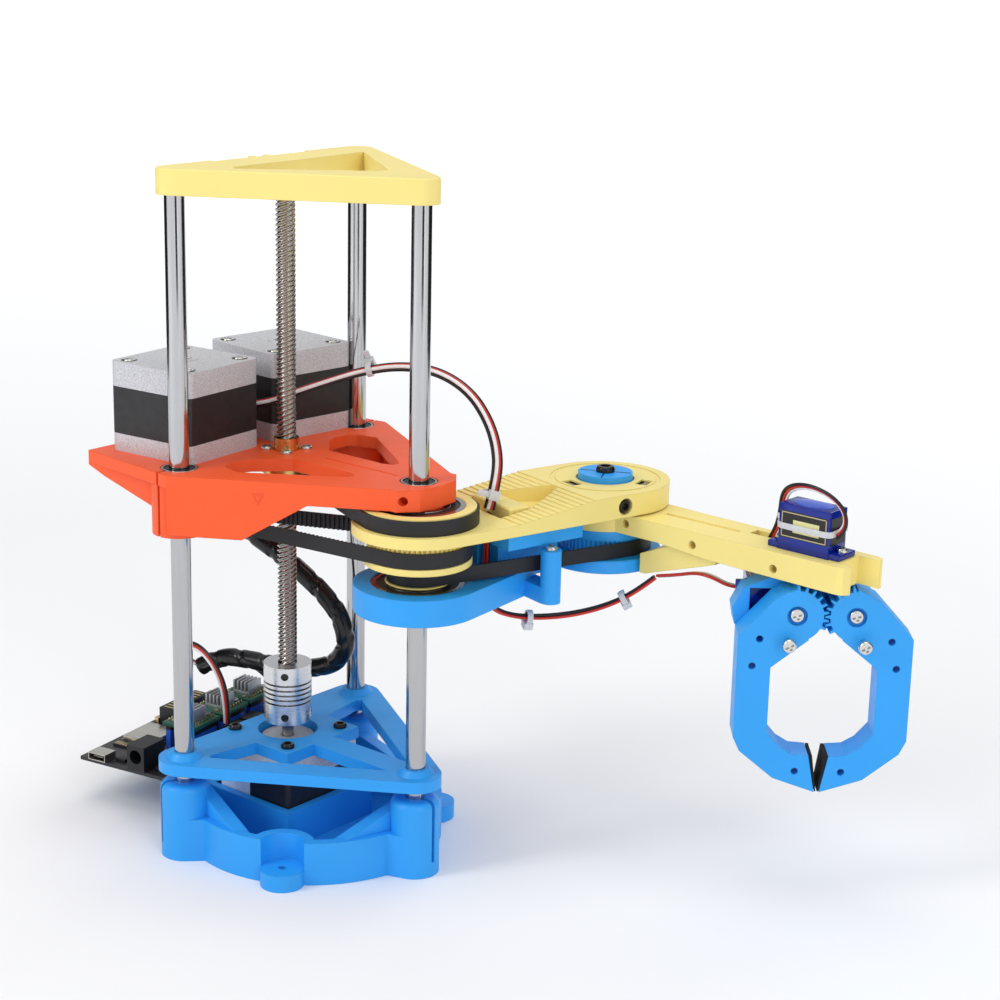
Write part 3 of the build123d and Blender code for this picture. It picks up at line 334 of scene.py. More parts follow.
def make_materials():
    rod_grain, ring_grain = (900.0, 900.0, 60.0), (60.0, 60.0, 900.0)
    made = [
        printed("blue_print", (0.022, 0.36, 0.90)),
        printed("yellow_print", (0.92, 0.76, 0.25)),
        printed("orange_print", (0.96, 0.105, 0.018)),
        metal("polished_rod", (0.50, 0.50, 0.51), 0.10, rod_grain, 0.01, 0.02),
        metal("steel", (0.42, 0.39, 0.36), 0.22),
        metal("aluminium", (0.74, 0.74, 0.75), 0.28, ring_grain, 0.06),
        metal("sink_grey", (0.56, 0.57, 0.59), 0.55),
        speckled("motor_cap", (0.60, 0.60, 0.63)),
        laminated("motor_core"),
        metal("brass", (0.72, 0.50, 0.18), 0.25, ring_grain),
        plastic("black_screw", (0.010, 0.010, 0.011), 0.25, 900.0),
        metal("bright_screw", (0.70, 0.69, 0.67), 0.2),
        plastic("belt_rubber", (0.012, 0.012, 0.014), 0.5, 1500.0, 0.25),
        plastic("servo_case", (0.006, 0.03, 0.42), 0.12, 200.0, 0.02, 0.45),
        plastic("servo_lens", (0.05, 0.13, 0.72), 0.15, 200.0, 0.02, 0.2),
        plastic("foam", (0.008, 0.008, 0.008), 0.9, 2500.0, 0.8),
        plastic("board_dark", (0.022, 0.022, 0.026), 0.3),
        plastic("board_edge", (0.20, 0.17, 0.09), 0.6),
        plastic("board_green", (0.01, 0.10, 0.065), 0.35),
        metal("shield_tin", (0.66, 0.64, 0.58), 0.3),
        metal("gold_pin", (0.75, 0.58, 0.28), 0.25),
        plastic("black_plastic", (0.010, 0.010, 0.012), 0.42),
        plastic("header_blue", (0.012, 0.085, 0.50), 0.35),
        plastic("header_navy", (0.008, 0.02, 0.12), 0.4),
        plastic("wrap_black", (0.008, 0.008, 0.009), 0.22, 300.0),
        plastic("nylon_white", (0.78, 0.79, 0.82), 0.35, 500.0, 0.03, 0.25),
        plastic("white_plastic", (0.80, 0.80, 0.78), 0.4),
        plastic("label_black", (0.015, 0.014, 0.013), 0.35),
        plastic("label_gold", (0.52, 0.43, 0.26), 0.4),
        plastic("label_paper", (0.72, 0.68, 0.34), 0.5),
        plastic("label_pale", (0.62, 0.72, 0.86), 0.5),
        plastic("ceramic_tan", (0.42, 0.30, 0.18), 0.5),
        plastic("wire_white", (0.82, 0.82, 0.82), 0.38),
        plastic("wire_rubber", (0.010, 0.010, 0.011), 0.36),
        plastic("wire_red", (0.62, 0.028, 0.018), 0.38),
        plastic("wire_blue", (0.01, 0.05, 0.38), 0.38),
        plastic("wire_green", (0.0, 0.17, 0.11), 0.38),
    ]
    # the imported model's own materials hold the bare names, so these have a numbered ending
    return {mat.name.split(".")[0]: mat for mat in made}


def dress_nodes():
    """Every CAD node starts with its own slot's material; some are replaced further down."""
    for part in frame["record"]["subparts"]:
        shown = NODES[part["node"]]
        shown.data.materials.clear()
        shown.data.materials.append(MATERIALS[part["material_slot"]])


# ---- mesh helpers, in millimetres -------------------------------------------------------------
class Shape:
    """Collects solids for one piece, each with a material."""

    def __init__(self):
        self.verts, self.faces, self.slots, self.names = [], [], [], []

    def add(self, solid, material, place=Matrix()):
        verts, faces = solid
        first = len(self.verts)
        self.verts += [place @ Vector(v) for v in verts]
        if material not in self.names:
            self.names.append(material)
        self.faces += [[first + i for i in face] for face in faces]
        self.slots += [self.names.index(material)] * len(faces)
        return self

    def piece(self, name, body, slot, replaces=(), bevel=0.0, sharp=32):
        mesh = bpy.data.meshes.new(name)
        mesh.from_pydata([v * MM for v in self.verts], [], self.faces)
        for material in self.names:
            mesh.materials.append(MATERIALS[material])
        mesh.polygons.foreach_set("material_index", self.slots)
        work = bmesh.new()
        work.from_mesh(mesh)
        bmesh.ops.recalc_face_normals(work, faces=work.faces)
        if bevel:
            turned = [e for e in work.edges if e.is_manifold and e.calc_face_angle() > math.radians(50)]
            bmesh.ops.bevel(work, geom=turned, offset=bevel * MM, segments=2, profile=0.6, affect="EDGES",
                            clamp_overlap=True)
        work.to_mesh(mesh)
        work.free()
        mesh.shade_smooth()
        mesh.set_sharp_from_angle(angle=math.radians(sharp))
        made = bpy.data.objects.new(name, mesh)
        SCENE.collection.objects.link(made)
        if body:
            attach(made, body)
        if replaces:
            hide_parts(*replaces)
        return made


def at(x, y, z=0.0, turn=0.0):
    return Matrix.Translation((x, y, z)) @ Matrix.Rotation(turn, 4, "Z")


def aimed(spot, direction, roll=0.0):
    """Takes a shape drawn along +Z to a spot, pointing the given way."""
    turn = Z_AXIS.rotation_difference(Vector(direction).normalized()).to_matrix().to_4x4()
    return Matrix.Translation(spot) @ turn @ Matrix.Rotation(roll, 4, "Z")


def cuboid(x0, x1, y0, y1, z0, z1):
    verts = [(x, y, z) for z in (z0, z1) for y in (y0, y1) for x in (x0, x1)]
    faces = [(0, 2, 3, 1), (4, 5, 7, 6), (0, 1, 5, 4), (2, 6, 7, 3), (0, 4, 6, 2), (1, 3, 7, 5)]
    return verts, faces


def rings_to_solid(rings, closed=False):
    """Joins rings of equal length; open ends are capped unless the rings close on themselves."""
    count = len(rings[0])
    verts = [v for ring in rings for v in ring]
    faces = []
    pairs = len(rings) if closed else len(rings) - 1
    for i in range(pairs):
        a, b = i * count, (i + 1) % len(rings) * count
        faces += [(a + j, a + (j + 1) % count, b + (j + 1) % count, b + j) for j in range(count)]
    if not closed:
        faces += [tuple(reversed(range(count))), tuple(range(len(verts) - count, len(verts)))]
    return verts, faces


def circle(r, z, sides=48):
    turns = [2 * math.pi * k / sides for k in range(sides)]
    return [(r * math.cos(t), r * math.sin(t), z) for t in turns]


def lathe(profile, sides=48, closed=False):
    """A turned solid about Z: profile is (radius, height) from one end to the other."""
    return rings_to_solid([circle(r, z, sides) for r, z in profile], closed)


def washer(outer, inner, z0, z1, sides=64, edge=0.15):
    profile = [
        (inner, z0), (outer - edge, z0), (outer, z0 + edge),
        (outer, z1 - edge), (outer - edge, z1), (inner, z1),
    ]
    return lathe(profile, sides, closed=True)


def prism(points, z0, z1):
    return rings_to_solid([[(x, y, z) for x, y in points] for z in (z0, z1)])


def hex_radius(a, size):
    return size / math.cos((a + math.pi / 6) % (math.pi / 3) - math.pi / 6)


def cross_radius(a, size):
    """Boundary of a Phillips recess: a cross with arms of the given reach."""
    c, s, half = abs(math.cos(a)) + 1e-9, abs(math.sin(a)) + 1e-9, size * 0.3
    return max(min(size / c, half / s), min(half / c, size / s))


def screw_head(r, h, recess=hex_radius, size=0.5, dome=0.75):
    """A domed screw head standing on Z = 0, with a hexagon or cross recess in its top."""
    sides = 48
    turns = [2 * math.pi * k / sides for k in range(sides)]

    def ring(radius, z):
        return [(radius(a) * math.cos(a), radius(a) * math.sin(a), z) for a in turns]

    rings = [ring(lambda a: r, 0), ring(lambda a: r, h * 0.35)]
    for k in range(1, 5):
        tilt = math.radians(18 * k)
        wide = r * (dome + (1 - dome) * math.cos(tilt))
        rings.append(ring(lambda a: wide, h * (0.35 + 0.65 * math.sin(tilt))))
    rings.append(ring(lambda a: recess(a, r * size), h * 1.0))
    rings.append(ring(lambda a: recess(a, r * size) * 0.94, h * 0.45))
    return rings_to_solid(rings)


def route_line(points):
    """The smooth line of a route: a spline with the route's points as its control points."""
    curve = bpy.data.curves.new("route", "CURVE")
    curve.dimensions = "3D"
    spline = curve.splines.new("NURBS")
    spline.points.add(len(points) - 1)
    for control, point in zip(spline.points, points):
        control.co = (*(c * MM for c in point), 1)
    spline.order_u = 3
    spline.use_endpoint_u = True
    spline.resolution_u = 10
    bare = bpy.data.objects.new("route", curve)
    mesh = bpy.data.meshes.new_from_object(bare)
    line = [v.co / MM for v in mesh.vertices]
    bpy.data.objects.remove(bare)
    bpy.data.curves.remove(curve)
    bpy.data.meshes.remove(mesh)
    return line


def frames_along(line, side):
    """A direction across the line at each of its points, carried along without twisting."""
    frames = []
    across = Vector(side)
    for i, point in enumerate(line):
        ahead = line[min(i + 1, len(line) - 1)] - line[max(i - 1, 0)]
        ahead.normalize()
        across = (across - ahead * across.dot(ahead)).normalized()
        frames.append((point, across.copy(), ahead.cross(across)))
    return frames


def strand(frames, offset, radius, sides=10):
    """A round wire beside the line: offset is (across, over) in millimetres, or a function of 0 to 1."""
    rings = []
    for i, (point, across, over) in enumerate(frames):
        a, b = offset(i / (len(frames) - 1)) if callable(offset) else offset
        centre = point + across * a + over * b
        ring = []
        for k in range(sides):
            t = 2 * math.pi * k / sides
            ring.append(centre + across * (radius * math.cos(t)) + over * (radius * math.sin(t)))
        rings.append(ring)
    return rings_to_solid(rings)


def strap(outline, width, thick):
    """A thin band round a closed outline in the XY plane, its width along Z."""
    count = len(outline)
    rings = []
    for i, (x, y) in enumerate(outline):
        ahead = Vector(outline[(i + 1) % count]) - Vector(outline[i - 1])
        out = Vector((ahead.y, -ahead.x)).normalized() * thick
        z0, z1 = -width / 2, width / 2
        rings.append([(x, y, z0), (x + out.x, y + out.y, z0), (x + out.x, y + out.y, z1), (x, y, z1)])
    return rings_to_solid(rings, closed=True)


def oval(half_x, half_y, sides=40, power=2.0):
    points = []
    for k in range(sides):
        c, s = math.cos(2 * math.pi * k / sides), math.sin(2 * math.pi * k / sides)
        grow = (abs(c) ** power + abs(s) ** power) ** (-1 / power)
        points.append((half_x * c * grow, half_y * s * grow))
    return points


def resampled(line, step):
    """The same line with points an even step apart."""
    made, carry = [line[0]], 0.0
    for a, b in zip(line, line[1:]):
        run = (b - a).length
        while carry + run >= step:
            a = a + (b - a) * ((step - carry) / run)
            run = (b - a).length
            made.append(a)
            carry = 0.0
        carry += run
    if (made[-1] - line[-1]).length > step * 0.3:
        made.append(line[-1])
    else:
        made[-1] = line[-1]
    return made


ON_ARM = at(SHOULDER.x, SHOULDER.y, 0, UPPER_ARM_TURN)
ON_FOREARM = at(ELBOW.x, ELBOW.y, 0, FOREARM_TURN)
JAW_MIDDLE = (JAW_PIVOTS[0] + JAW_PIVOTS[1]) / 2
ON_WRIST = at(JAW_MIDDLE.x, JAW_MIDDLE.y, 0, GRIPPER_TURN)
ON_BOARD = at(-97.5, -44.5, 0, math.radians(10))
RODS = [(56 * math.cos(a), 56 * math.sin(a)) for a in (0, math.radians(116), -math.radians(116))]
ARM_MOTORS = [((-46.3, -26.9), math.radians(5.3)), ((-46.3, 26.9), math.radians(-5.3))]
FOREARM_LENGTH = (WRIST - ELBOW).xy.length
RAIL_MARK = 36.5  # where the triangle stands along the near side rail
GRIPPER_SERVO_SEAT = 19.5  # how far the gripper servo's tabs sit behind the wrist axis


# ---- lead screw, belts and pulleys ----------------------------------------------------------
def add_lead_screw():
    """A four-start trapezoidal screw, 2 mm pitch and 8 mm lead."""
    low, high = node_box("lead_screw")
    sides, step, lead, starts = 40, 0.34, 8.0, 4
    rings = []
    for i in range(int((high.z - low.z) / step) + 1):
        z = min(low.z + i * step, high.z)
        ring = []
        for k in range(sides):
            phase = (starts * (z / lead - k / sides)) % 1.0
            cut = min(1.0, max(0.0, abs(phase - 0.5) * 6 - 0.9))
            r = 3.98 if high.z - z < 1.5 else 3.2 + 0.78 * (1 - cut)
            ring.append((SCREW.x + r * math.cos(2 * math.pi * k / sides),
                         SCREW.y + r * math.sin(2 * math.pi * k / sides), z))
        rings.append(ring)
    thread = Shape().add(rings_to_solid(rings), "steel")
    thread.piece("lead_screw_thread", "lead_screw", "steel", ["lead_screw"], sharp=80)


def belt_path(p, q, rp, rq):
    """Corners of a belt's inner face: position, outward direction and height of the tooth."""
    p, q = Vector(p), Vector(q)
    span = (q - p).length
    heading = math.atan2(q.y - p.y, q.x - p.x)
    spread = math.acos((rp - rq) / span)
    marks = []

    def arc(centre, r, first, last):
        count = max(8, int(abs(last - first) * r / 1.5))
        for i in range(count + 1):
            a = first + (last - first) * i / count
            out = Vector((math.cos(a), math.sin(a)))
            marks.append((centre + out * r, out, 0.0))

    def run(a, b, out):
        length = (b - a).length
        # three teeth are left out at each end, where they would cut into the pulleys
        for i in range(3, int(length / 2.0) - 3):
            for along, tooth in ((0.1, 0.0), (0.45, 0.7), (1.05, 0.7), (1.4, 0.0)):
                marks.append((a + (b - a) * ((i * 2 + along) / length), out, tooth))

    def edge(centre, r, a):
        return centre + Vector((math.cos(a), math.sin(a))) * r

    over, under = heading + spread, heading - spread
    arc(q, rq, under, over)
    run(edge(q, rq, over), edge(p, rp, over), Vector((math.cos(over), math.sin(over))))
    arc(p, rp, over, under + 2 * math.pi)
    run(edge(p, rp, under), edge(q, rq, under), Vector((math.cos(under), math.sin(under))))
    return marks


def add_belt(name, body, p, q, rp, rq):
    low, high = node_box(name)
    rings = []
    for spot, out, tooth in belt_path(p, q, rp + 0.15, rq + 0.15):
        inner, outer = spot - out * tooth, spot + out * 0.9
        rings.append([(inner.x, inner.y, low.z), (outer.x, outer.y, low.z),
                      (outer.x, outer.y, high.z), (inner.x, inner.y, high.z)])
    belt = Shape().add(rings_to_solid(rings, closed=True), "belt_rubber")
    belt.piece(name + "_teeth", body, "belt_rubber", [name])


def gear_ring(r, teeth, z0, z1, cut=0.75):
    """A toothed pulley band: round-topped teeth with slots between."""
    points = []
    for k in range(teeth):
        for share, depth in ((0.0, 0.0), (0.5, 0.0), (0.62, cut), (0.88, cut)):
            a = 2 * math.pi * (k + share) / teeth
            points.append(((r - depth) * math.cos(a), (r - depth) * math.sin(a)))
    return prism(points, z0, z1)


def add_pulleys():
    elbow = Shape()
    rim = [(23.5, 117.6), (24.0, 118.1), (24.0, 122.7), (23.5, 123.2)]
    elbow.add(lathe(rim, 96), "blue_print", ON_FOREARM)
    elbow.add(gear_ring(18.85, 60, 123.2, 129.9), "blue_print", ON_FOREARM)
    elbow.add(lathe([(18.85, 129.9), (18.85, 134.0)], 96), "blue_print", ON_FOREARM)
    elbow.piece("elbow_pulley_toothed", "forearm", "blue_print", ["elbow_pulley"])
    transfer = Shape()
    spot = at(SHOULDER.x, SHOULDER.y)
    transfer.add(washer(9.9, 8.6, 112.2, 122.7), "yellow_print", spot)
    transfer.add(washer(12.9, 8.6, 122.7, 123.3), "yellow_print", spot)
    transfer.add(gear_ring(11.21, 36, 123.3, 130.6), "yellow_print", spot)
    transfer.add(washer(21.2, 10.1, 130.6, 133.3, 96), "yellow_print", spot)
    transfer.add(gear_ring(20.12, 64, 133.3, 141.9), "yellow_print", spot)
    transfer.piece("transfer_pulley_toothed", "transfer", "yellow_print", ["transfer_pulley"])
    motors = {"drive_motor": (ARM_MOTORS[0][0], 133.6), "shoulder_motor": (ARM_MOTORS[1][0], 147.2)}
    for body, (spot, z0) in motors.items():
        place = at(*spot)
        pulley = Shape()
        pulley.add(lathe([(6.4, z0 - 1.4), (6.4, z0 - 0.4)]), "aluminium", place)
        pulley.add(gear_ring(4.84, 16, z0 - 0.4, z0 + 7), "aluminium", place)
        pulley.add(lathe([(6.4, z0 + 7), (6.4, z0 + 8), (5.8, z0 + 8.3), (5.8, z0 + 13)]), "aluminium", place)
        pulley.add(lathe([(2.5, z0 + 13), (2.5, 185)], 24), "steel", place)
        pulley.piece(body + "_pulley_toothed", body, "steel", [body + "_pulley"])


# ---- bearings ---------------------------------------------------------------------------------
def ball_bearing(shape, place, z0, z1):
    for z, face in ((z0, 1), (z1, -1)):
        shape.add(washer(16.4, 12.4, *sorted((z + face * 0.35, z + face * 1.2))), "black_plastic", place)
    shape.add(washer(18.45, 16.3, z0, z1, 96), "steel", place)
    shape.add(washer(12.5, 10.0, z0, z1, 96), "steel", place)


def add_bearings():
    shape = Shape()
    low, high = node_box("shoulder_bearings")
    spot = at(SHOULDER.x, SHOULDER.y)
    ball_bearing(shape, spot, high.z - 9, high.z)
    ball_bearing(shape, spot, low.z, low.z + 9)
    shape.piece("shoulder_races", "upper_arm", "steel", ["shoulder_bearings"])
    low, high = node_box("elbow_bearing")
    shape = Shape()
    ball_bearing(shape, at(ELBOW.x, ELBOW.y), low.z, high.z)
    shape.piece("elbow_races", "upper_arm", "steel", ["elbow_bearing"])
    low, high = node_box("linear_bearings")
    shape = Shape()
    for rod in RODS:
        outside = [(7.0, low.z), (7.5, low.z + 0.5), (7.5, high.z - 0.5), (7.0, high.z), (6.3, high.z)]
        shape.add(lathe(outside + [(6.3, low.z)], 64, closed=True), "steel", at(*rod))
        for z in (low.z + 0.3, high.z - 1.0):
            shape.add(washer(6.35, 4.15, z, z + 0.7), "black_plastic", at(*rod))
    shape.piece("linear_bearing_sleeves", "carriage", "steel", ["linear_bearings"])


# ---- screws -------------------------------------------------------------------------------------
def add_screws():
    frame_heads = Shape()
    for x in (-15.5, 15.5):
        for y in (-15.5, 15.5):
            frame_heads.add(screw_head(2.8, 1.8), "black_screw", at(SCREW.x + x, y, 42.0, random.random()))
    for u, v in ((46.4, 24.0), (46.4, 70.0)):
        head = screw_head(2.7, 1.6, cross_radius, 0.62)
        frame_heads.add(head, "bright_screw", ON_BOARD @ at(u, v, 20.0, 0.4))
    frame_heads.piece("frame_screw_heads", "base", "black_screw", ["frame_screws"])

    deck_heads = Shape()
    for k in range(4):
        a = math.radians(45 + 90 * k)
        spot = at(SCREW.x + 8 * math.cos(a), SCREW.y + 8 * math.sin(a), 163.0, a)
        deck_heads.add(screw_head(2.4, 1.3), "bright_screw", spot)
    for (x, y), turn in ARM_MOTORS:
        for k in range(4):
            a = turn + math.radians(45 + 90 * k)
            spot = Matrix.Translation((x + 21.92 * math.cos(a), y + 21.92 * math.sin(a), 158.0))
            deck_heads.add(screw_head(2.7, 2.3), "bright_screw", spot @ Matrix.Rotation(math.pi, 4, "X"))
    deck_heads.piece("carriage_screw_heads", "carriage", "black_screw", ["carriage_screws"])

    arm_heads = Shape()
    arm_length = (ELBOW - SHOULDER).xy.length
    side = Matrix.Translation((arm_length - 10, -23.6, 147.2)) @ Matrix.Rotation(math.pi / 2, 4, "X")
    arm_heads.add(screw_head(2.9, 2.6), "black_screw", ON_ARM @ side)
    post = tension_post()
    arm_heads.add(lathe([(1.25, 127), (1.25, 133.5)], 20), "bright_screw", at(*post))
    arm_heads.add(screw_head(2.6, 1.5), "bright_screw", at(*post, 133.5))
    arm_heads.piece("arm_screw_heads", "upper_arm", "black_screw", ["arm_screws"])

    level = Matrix.Rotation(math.pi / 2, 4, "X")
    for name, sign in (("jaw_left", -1), ("jaw_right", 1)):
        head = Shape()
        spot = ON_WRIST @ Matrix.Translation((sign * 14.5, -10.5, 108.3)) @ level
        turned = spot @ Matrix.Rotation(0.5, 4, "Z")
        head.add(screw_head(2.8, 2.0, cross_radius, 0.62), "bright_screw", turned)
        head.add(lathe([(1.4, -8.0), (1.4, 0.2)], 20), "bright_screw", spot)
        head.piece(name + "_screw_head", name, "bright_screw", [name.replace("jaw", "jaw_screw")])
    pivots = Shape()
    for sign in (-1, 1):
        spot = ON_WRIST @ Matrix.Translation((sign * 11.35, -3.9, 118.5)) @ level
        turned = spot @ Matrix.Rotation(0.3, 4, "Z")
        pivots.add(screw_head(2.9, 1.8, cross_radius, 0.6), "bright_screw", turned)
    pivots.piece("pivot_screw_heads", "gripper", "bright_screw", ["gripper_screws"])

    wrist_heads = Shape()
    for s in (FOREARM_LENGTH + 8.2, FOREARM_LENGTH - 19.1):
        head = screw_head(2.1, 1.5, cross_radius, 0.62)
        wrist_heads.add(head, "bright_screw", ON_FOREARM @ at(s, 0, 144.5, 0.6))
    wrist_heads.piece("wrist_screw_heads", "forearm", "bright_screw", ["wrist_servo_screws"])


def tension_post():
    """Where the tension post stands beside the arm, read from the shape of its screw."""
    spots = [v.co / MM for v in NODES["arm_screws"].data.vertices if v.co.z < 136 * MM]
    return tuple((min(v[i] for v in spots) + max(v[i] for v in spots)) / 2 for i in (0, 1))


# ---- motors ---------------------------------------------------------------------------------------
def add_motor_details():
    """Screws, shafts and plugs of the arm motors; plug, blank label and bolts of the z motor."""
    arm = Shape()
    for (x, y), turn in ARM_MOTORS:
        place = at(x, y, 0, turn)
        for sx in (-1, 1):
            for sy in (-1, 1):
                head = at(sx * 15.5, sy * 15.5, 198.9, random.random())
                arm.add(screw_head(2.7, 1.2, cross_radius, 0.6), "bright_screw", place @ head)
                arm.add(washer(3.3, 2.75, 199.3, 199.65), "black_plastic", place @ at(sx * 15.5, sy * 15.5))
        arm.add(washer(5.4, 2.9, 199.3, 199.8), "motor_cap", place)
        arm.add(lathe([(2.4, 199.3), (2.4, 199.65)], 24), "steel", place)
        arm.add(cuboid(-24.0, -20.7, -8, 8, 166, 173.5), "white_plastic", place)
    arm.piece("arm_motor_details", "carriage", "motor_cap", bevel=0.15)
    tower = Shape()
    place = at(SCREW.x, SCREW.y)
    tower.add(cuboid(-24.8, -20.7, -8, 8, 13.5, 20.5), "white_plastic", place)
    tower.add(cuboid(-18.5, -1.5, -21.0, -20.8, 13.5, 27.5), "label_pale", place)
    for sx in (-1, 1):
        for sy in (-1, 1):
            bolt = place @ at(sx * 15.5, sy * 15.5)
            tower.add(lathe([(2.7, 2.3), (2.7, 3.1)], 24), "bright_screw", bolt)
    tower.piece("z_motor_details", "base", "motor_cap", bevel=0.15)


# ---- controller board -----------------------------------------------------------------------------
BOARD_TOP = 20.0


def on_board(shape, material, *box):
    """Adds one block in the board's own axes."""
    return shape.add(cuboid(*box), material, ON_BOARD)


def add_board():
    top = BOARD_TOP
    usb = on_board(Shape(), "shield_tin", 5, 14, -0.8, 6.6, top, top + 0.35)
    on_board(usb, "shield_tin", 5, 14, -0.8, 6.6, top + 2.95, top + 3.3)
    on_board(usb, "shield_tin", 5, 5.35, -0.8, 6.6, top + 0.3, top + 3.0)
    on_board(usb, "shield_tin", 13.65, 14, -0.8, 6.6, top + 0.3, top + 3.0)
    on_board(usb, "black_plastic", 5.3, 13.7, 5.5, 6.5, top + 0.3, top + 3.0)
    on_board(usb, "black_plastic", 7, 12, 0.4, 5.6, top + 1.3, top + 1.9)
    usb.piece("usb_shell", "base", "shield_tin", ["usb_socket"], bevel=0.1)

    module = on_board(Shape(), "board_dark", 4, 22, 17, 42.5, top, top + 0.9)
    on_board(module, "shield_tin", 5.2, 20.8, 22.5, 41, top + 0.9, top + 3.2)
    for k in range(12):
        on_board(module, "gold_pin", 4.2 + 1.4 * k, 5.1 + 1.4 * k, 17.3, 20.5, top + 0.9, top + 1.0)
    for k in range(14):
        for u in (3.7, 21.5):
            on_board(module, "gold_pin", u, u + 0.9, 23 + 1.35 * k, 23.8 + 1.35 * k, top, top + 1.0)
    module.piece("radio_module_detail", "base", "shield_tin", ["radio_module"], bevel=0.12)

    headers, drivers, sinks = Shape(), Shape(), Shape()
    for k in range(3):
        v0 = 27.0 + 20.5 * k
        for u in (25.2, 38.2):
            on_board(headers, "header_blue", u, u + 2.5, v0, v0 + 16, top, top + 8.6)
            on_board(drivers, "black_plastic", u - 0.1, u + 2.6, v0 + 0.2, v0 + 15.8, top + 8.6, top + 11)
            for i in range(8):
                v = v0 + 0.7 + 2 * i
                on_board(drivers, "gold_pin", u + 1.0, u + 1.6, v, v + 0.6, top + 12.0, top + 14.0)
        on_board(drivers, "board_green", 24.5, 41.5, v0 - 1.5, v0 + 17.5, top + 11, top + 12.6)
        for u, v in ((27.2, 1.2), (35.5, 0.4), (30.4, 14.6)):
            on_board(drivers, "ceramic_tan", u, u + 1.8, v0 + v, v0 + v + 1.1, top + 12.6, top + 13.3)
        drivers.add(lathe([(1.6, top + 12.6), (1.6, top + 13.8), (0.6, top + 13.8), (0.6, top + 13.5)], 20),
                    "bright_screw", ON_BOARD @ at(36.2, v0 + 15.0))
        on_board(sinks, "sink_grey", 28.5, 37.5, v0 + 3.5, v0 + 12.5, top + 12.6, top + 14)
        for i in range(5):
            u = 28.5 + 2.02 * i
            on_board(sinks, "sink_grey", u, u + 0.9, v0 + 3.5, v0 + 12.5, top + 13.9, top + 18.5)
    headers.piece("header_sockets", "base", "header_blue", ["board_headers"], bevel=0.12)
    drivers.piece("driver_boards_detail", "base", "board_green", ["driver_boards"], bevel=0.06)
    sinks.piece("heat_sink_fins", "base", "aluminium", ["heat_sinks"], bevel=0.12)

    plugs = Shape()
    for v in (48.0, 60.0, 78.0):
        on_board(plugs, "black_plastic", 44, 49.5, v - 5, v + 5, top, top + 9)
        for i in range(4):
            w = v - 3.9 + 2.2 * i
            on_board(plugs, "gold_pin", 49.3, 49.7, w, w + 1.1, top + 2, top + 6.5)
    for k in range(2):
        on_board(plugs, "black_plastic", 5, 13, 48 + 14 * k, 60 + 14 * k, top, top + 8)
        for i in range(4):
            w = 49.2 + 14 * k + 2.6 * i
            on_board(plugs, "gold_pin", 6.2, 11.8, w, w + 1.3, top + 7.9, top + 8.2)
    plugs.piece("board_plugs_detail", "base", "black_plastic", ["board_plugs"], bevel=0.2)

    parts = Shape()
    for u, v, wide, deep, tall, material in (
        (16, 4, 5, 5, 1.4, "black_plastic"), (18, 10.5, 3.4, 3.4, 1.1, "black_plastic"),
        (37.5, 4, 6, 7, 2.2, "black_plastic"), (37.5, 14, 5, 5, 3.6, "bright_screw"),
        (29, 17, 7, 5, 1.6, "black_plastic"), (45, 10, 4, 8, 6.0, "header_navy"),
        (45, 32, 3, 6, 5.0, "black_plastic"), (14.5, 64, 7, 8, 1.5, "black_plastic"),
        (15, 76, 6, 6, 1.2, "black_plastic"), (5, 80, 7, 6, 4.2, "header_navy"),
    ):
        on_board(parts, material, u, u + wide, v, v + deep, top, top + tall)
    for k in range(26):
        u, v = random.uniform(15, 23.4), random.uniform(44, 86)
        kind = random.choice(("ceramic_tan", "black_plastic", "bright_screw"))
        turned = random.random() < 0.5
        wide, deep = (1.6, 0.9) if turned else (0.9, 1.6)
        on_board(parts, kind, u, u + wide, v, v + deep, top, top + 0.7)
    for k in range(6):
        on_board(parts, "gold_pin", 2.2, 4.4, 48 + 6 * k, 51.4 + 6 * k, top, top + 2.6)
    for row in range(3):
        for k in range(10):
            u, v = 32.6 + 1.27 * row, 28 + 5.6 * k
            on_board(parts, "gold_pin", u, u + 0.6, v, v + 0.6, top, top + 1.6)
    parts.piece("board_components", "base", "board_dark", bevel=0.08)


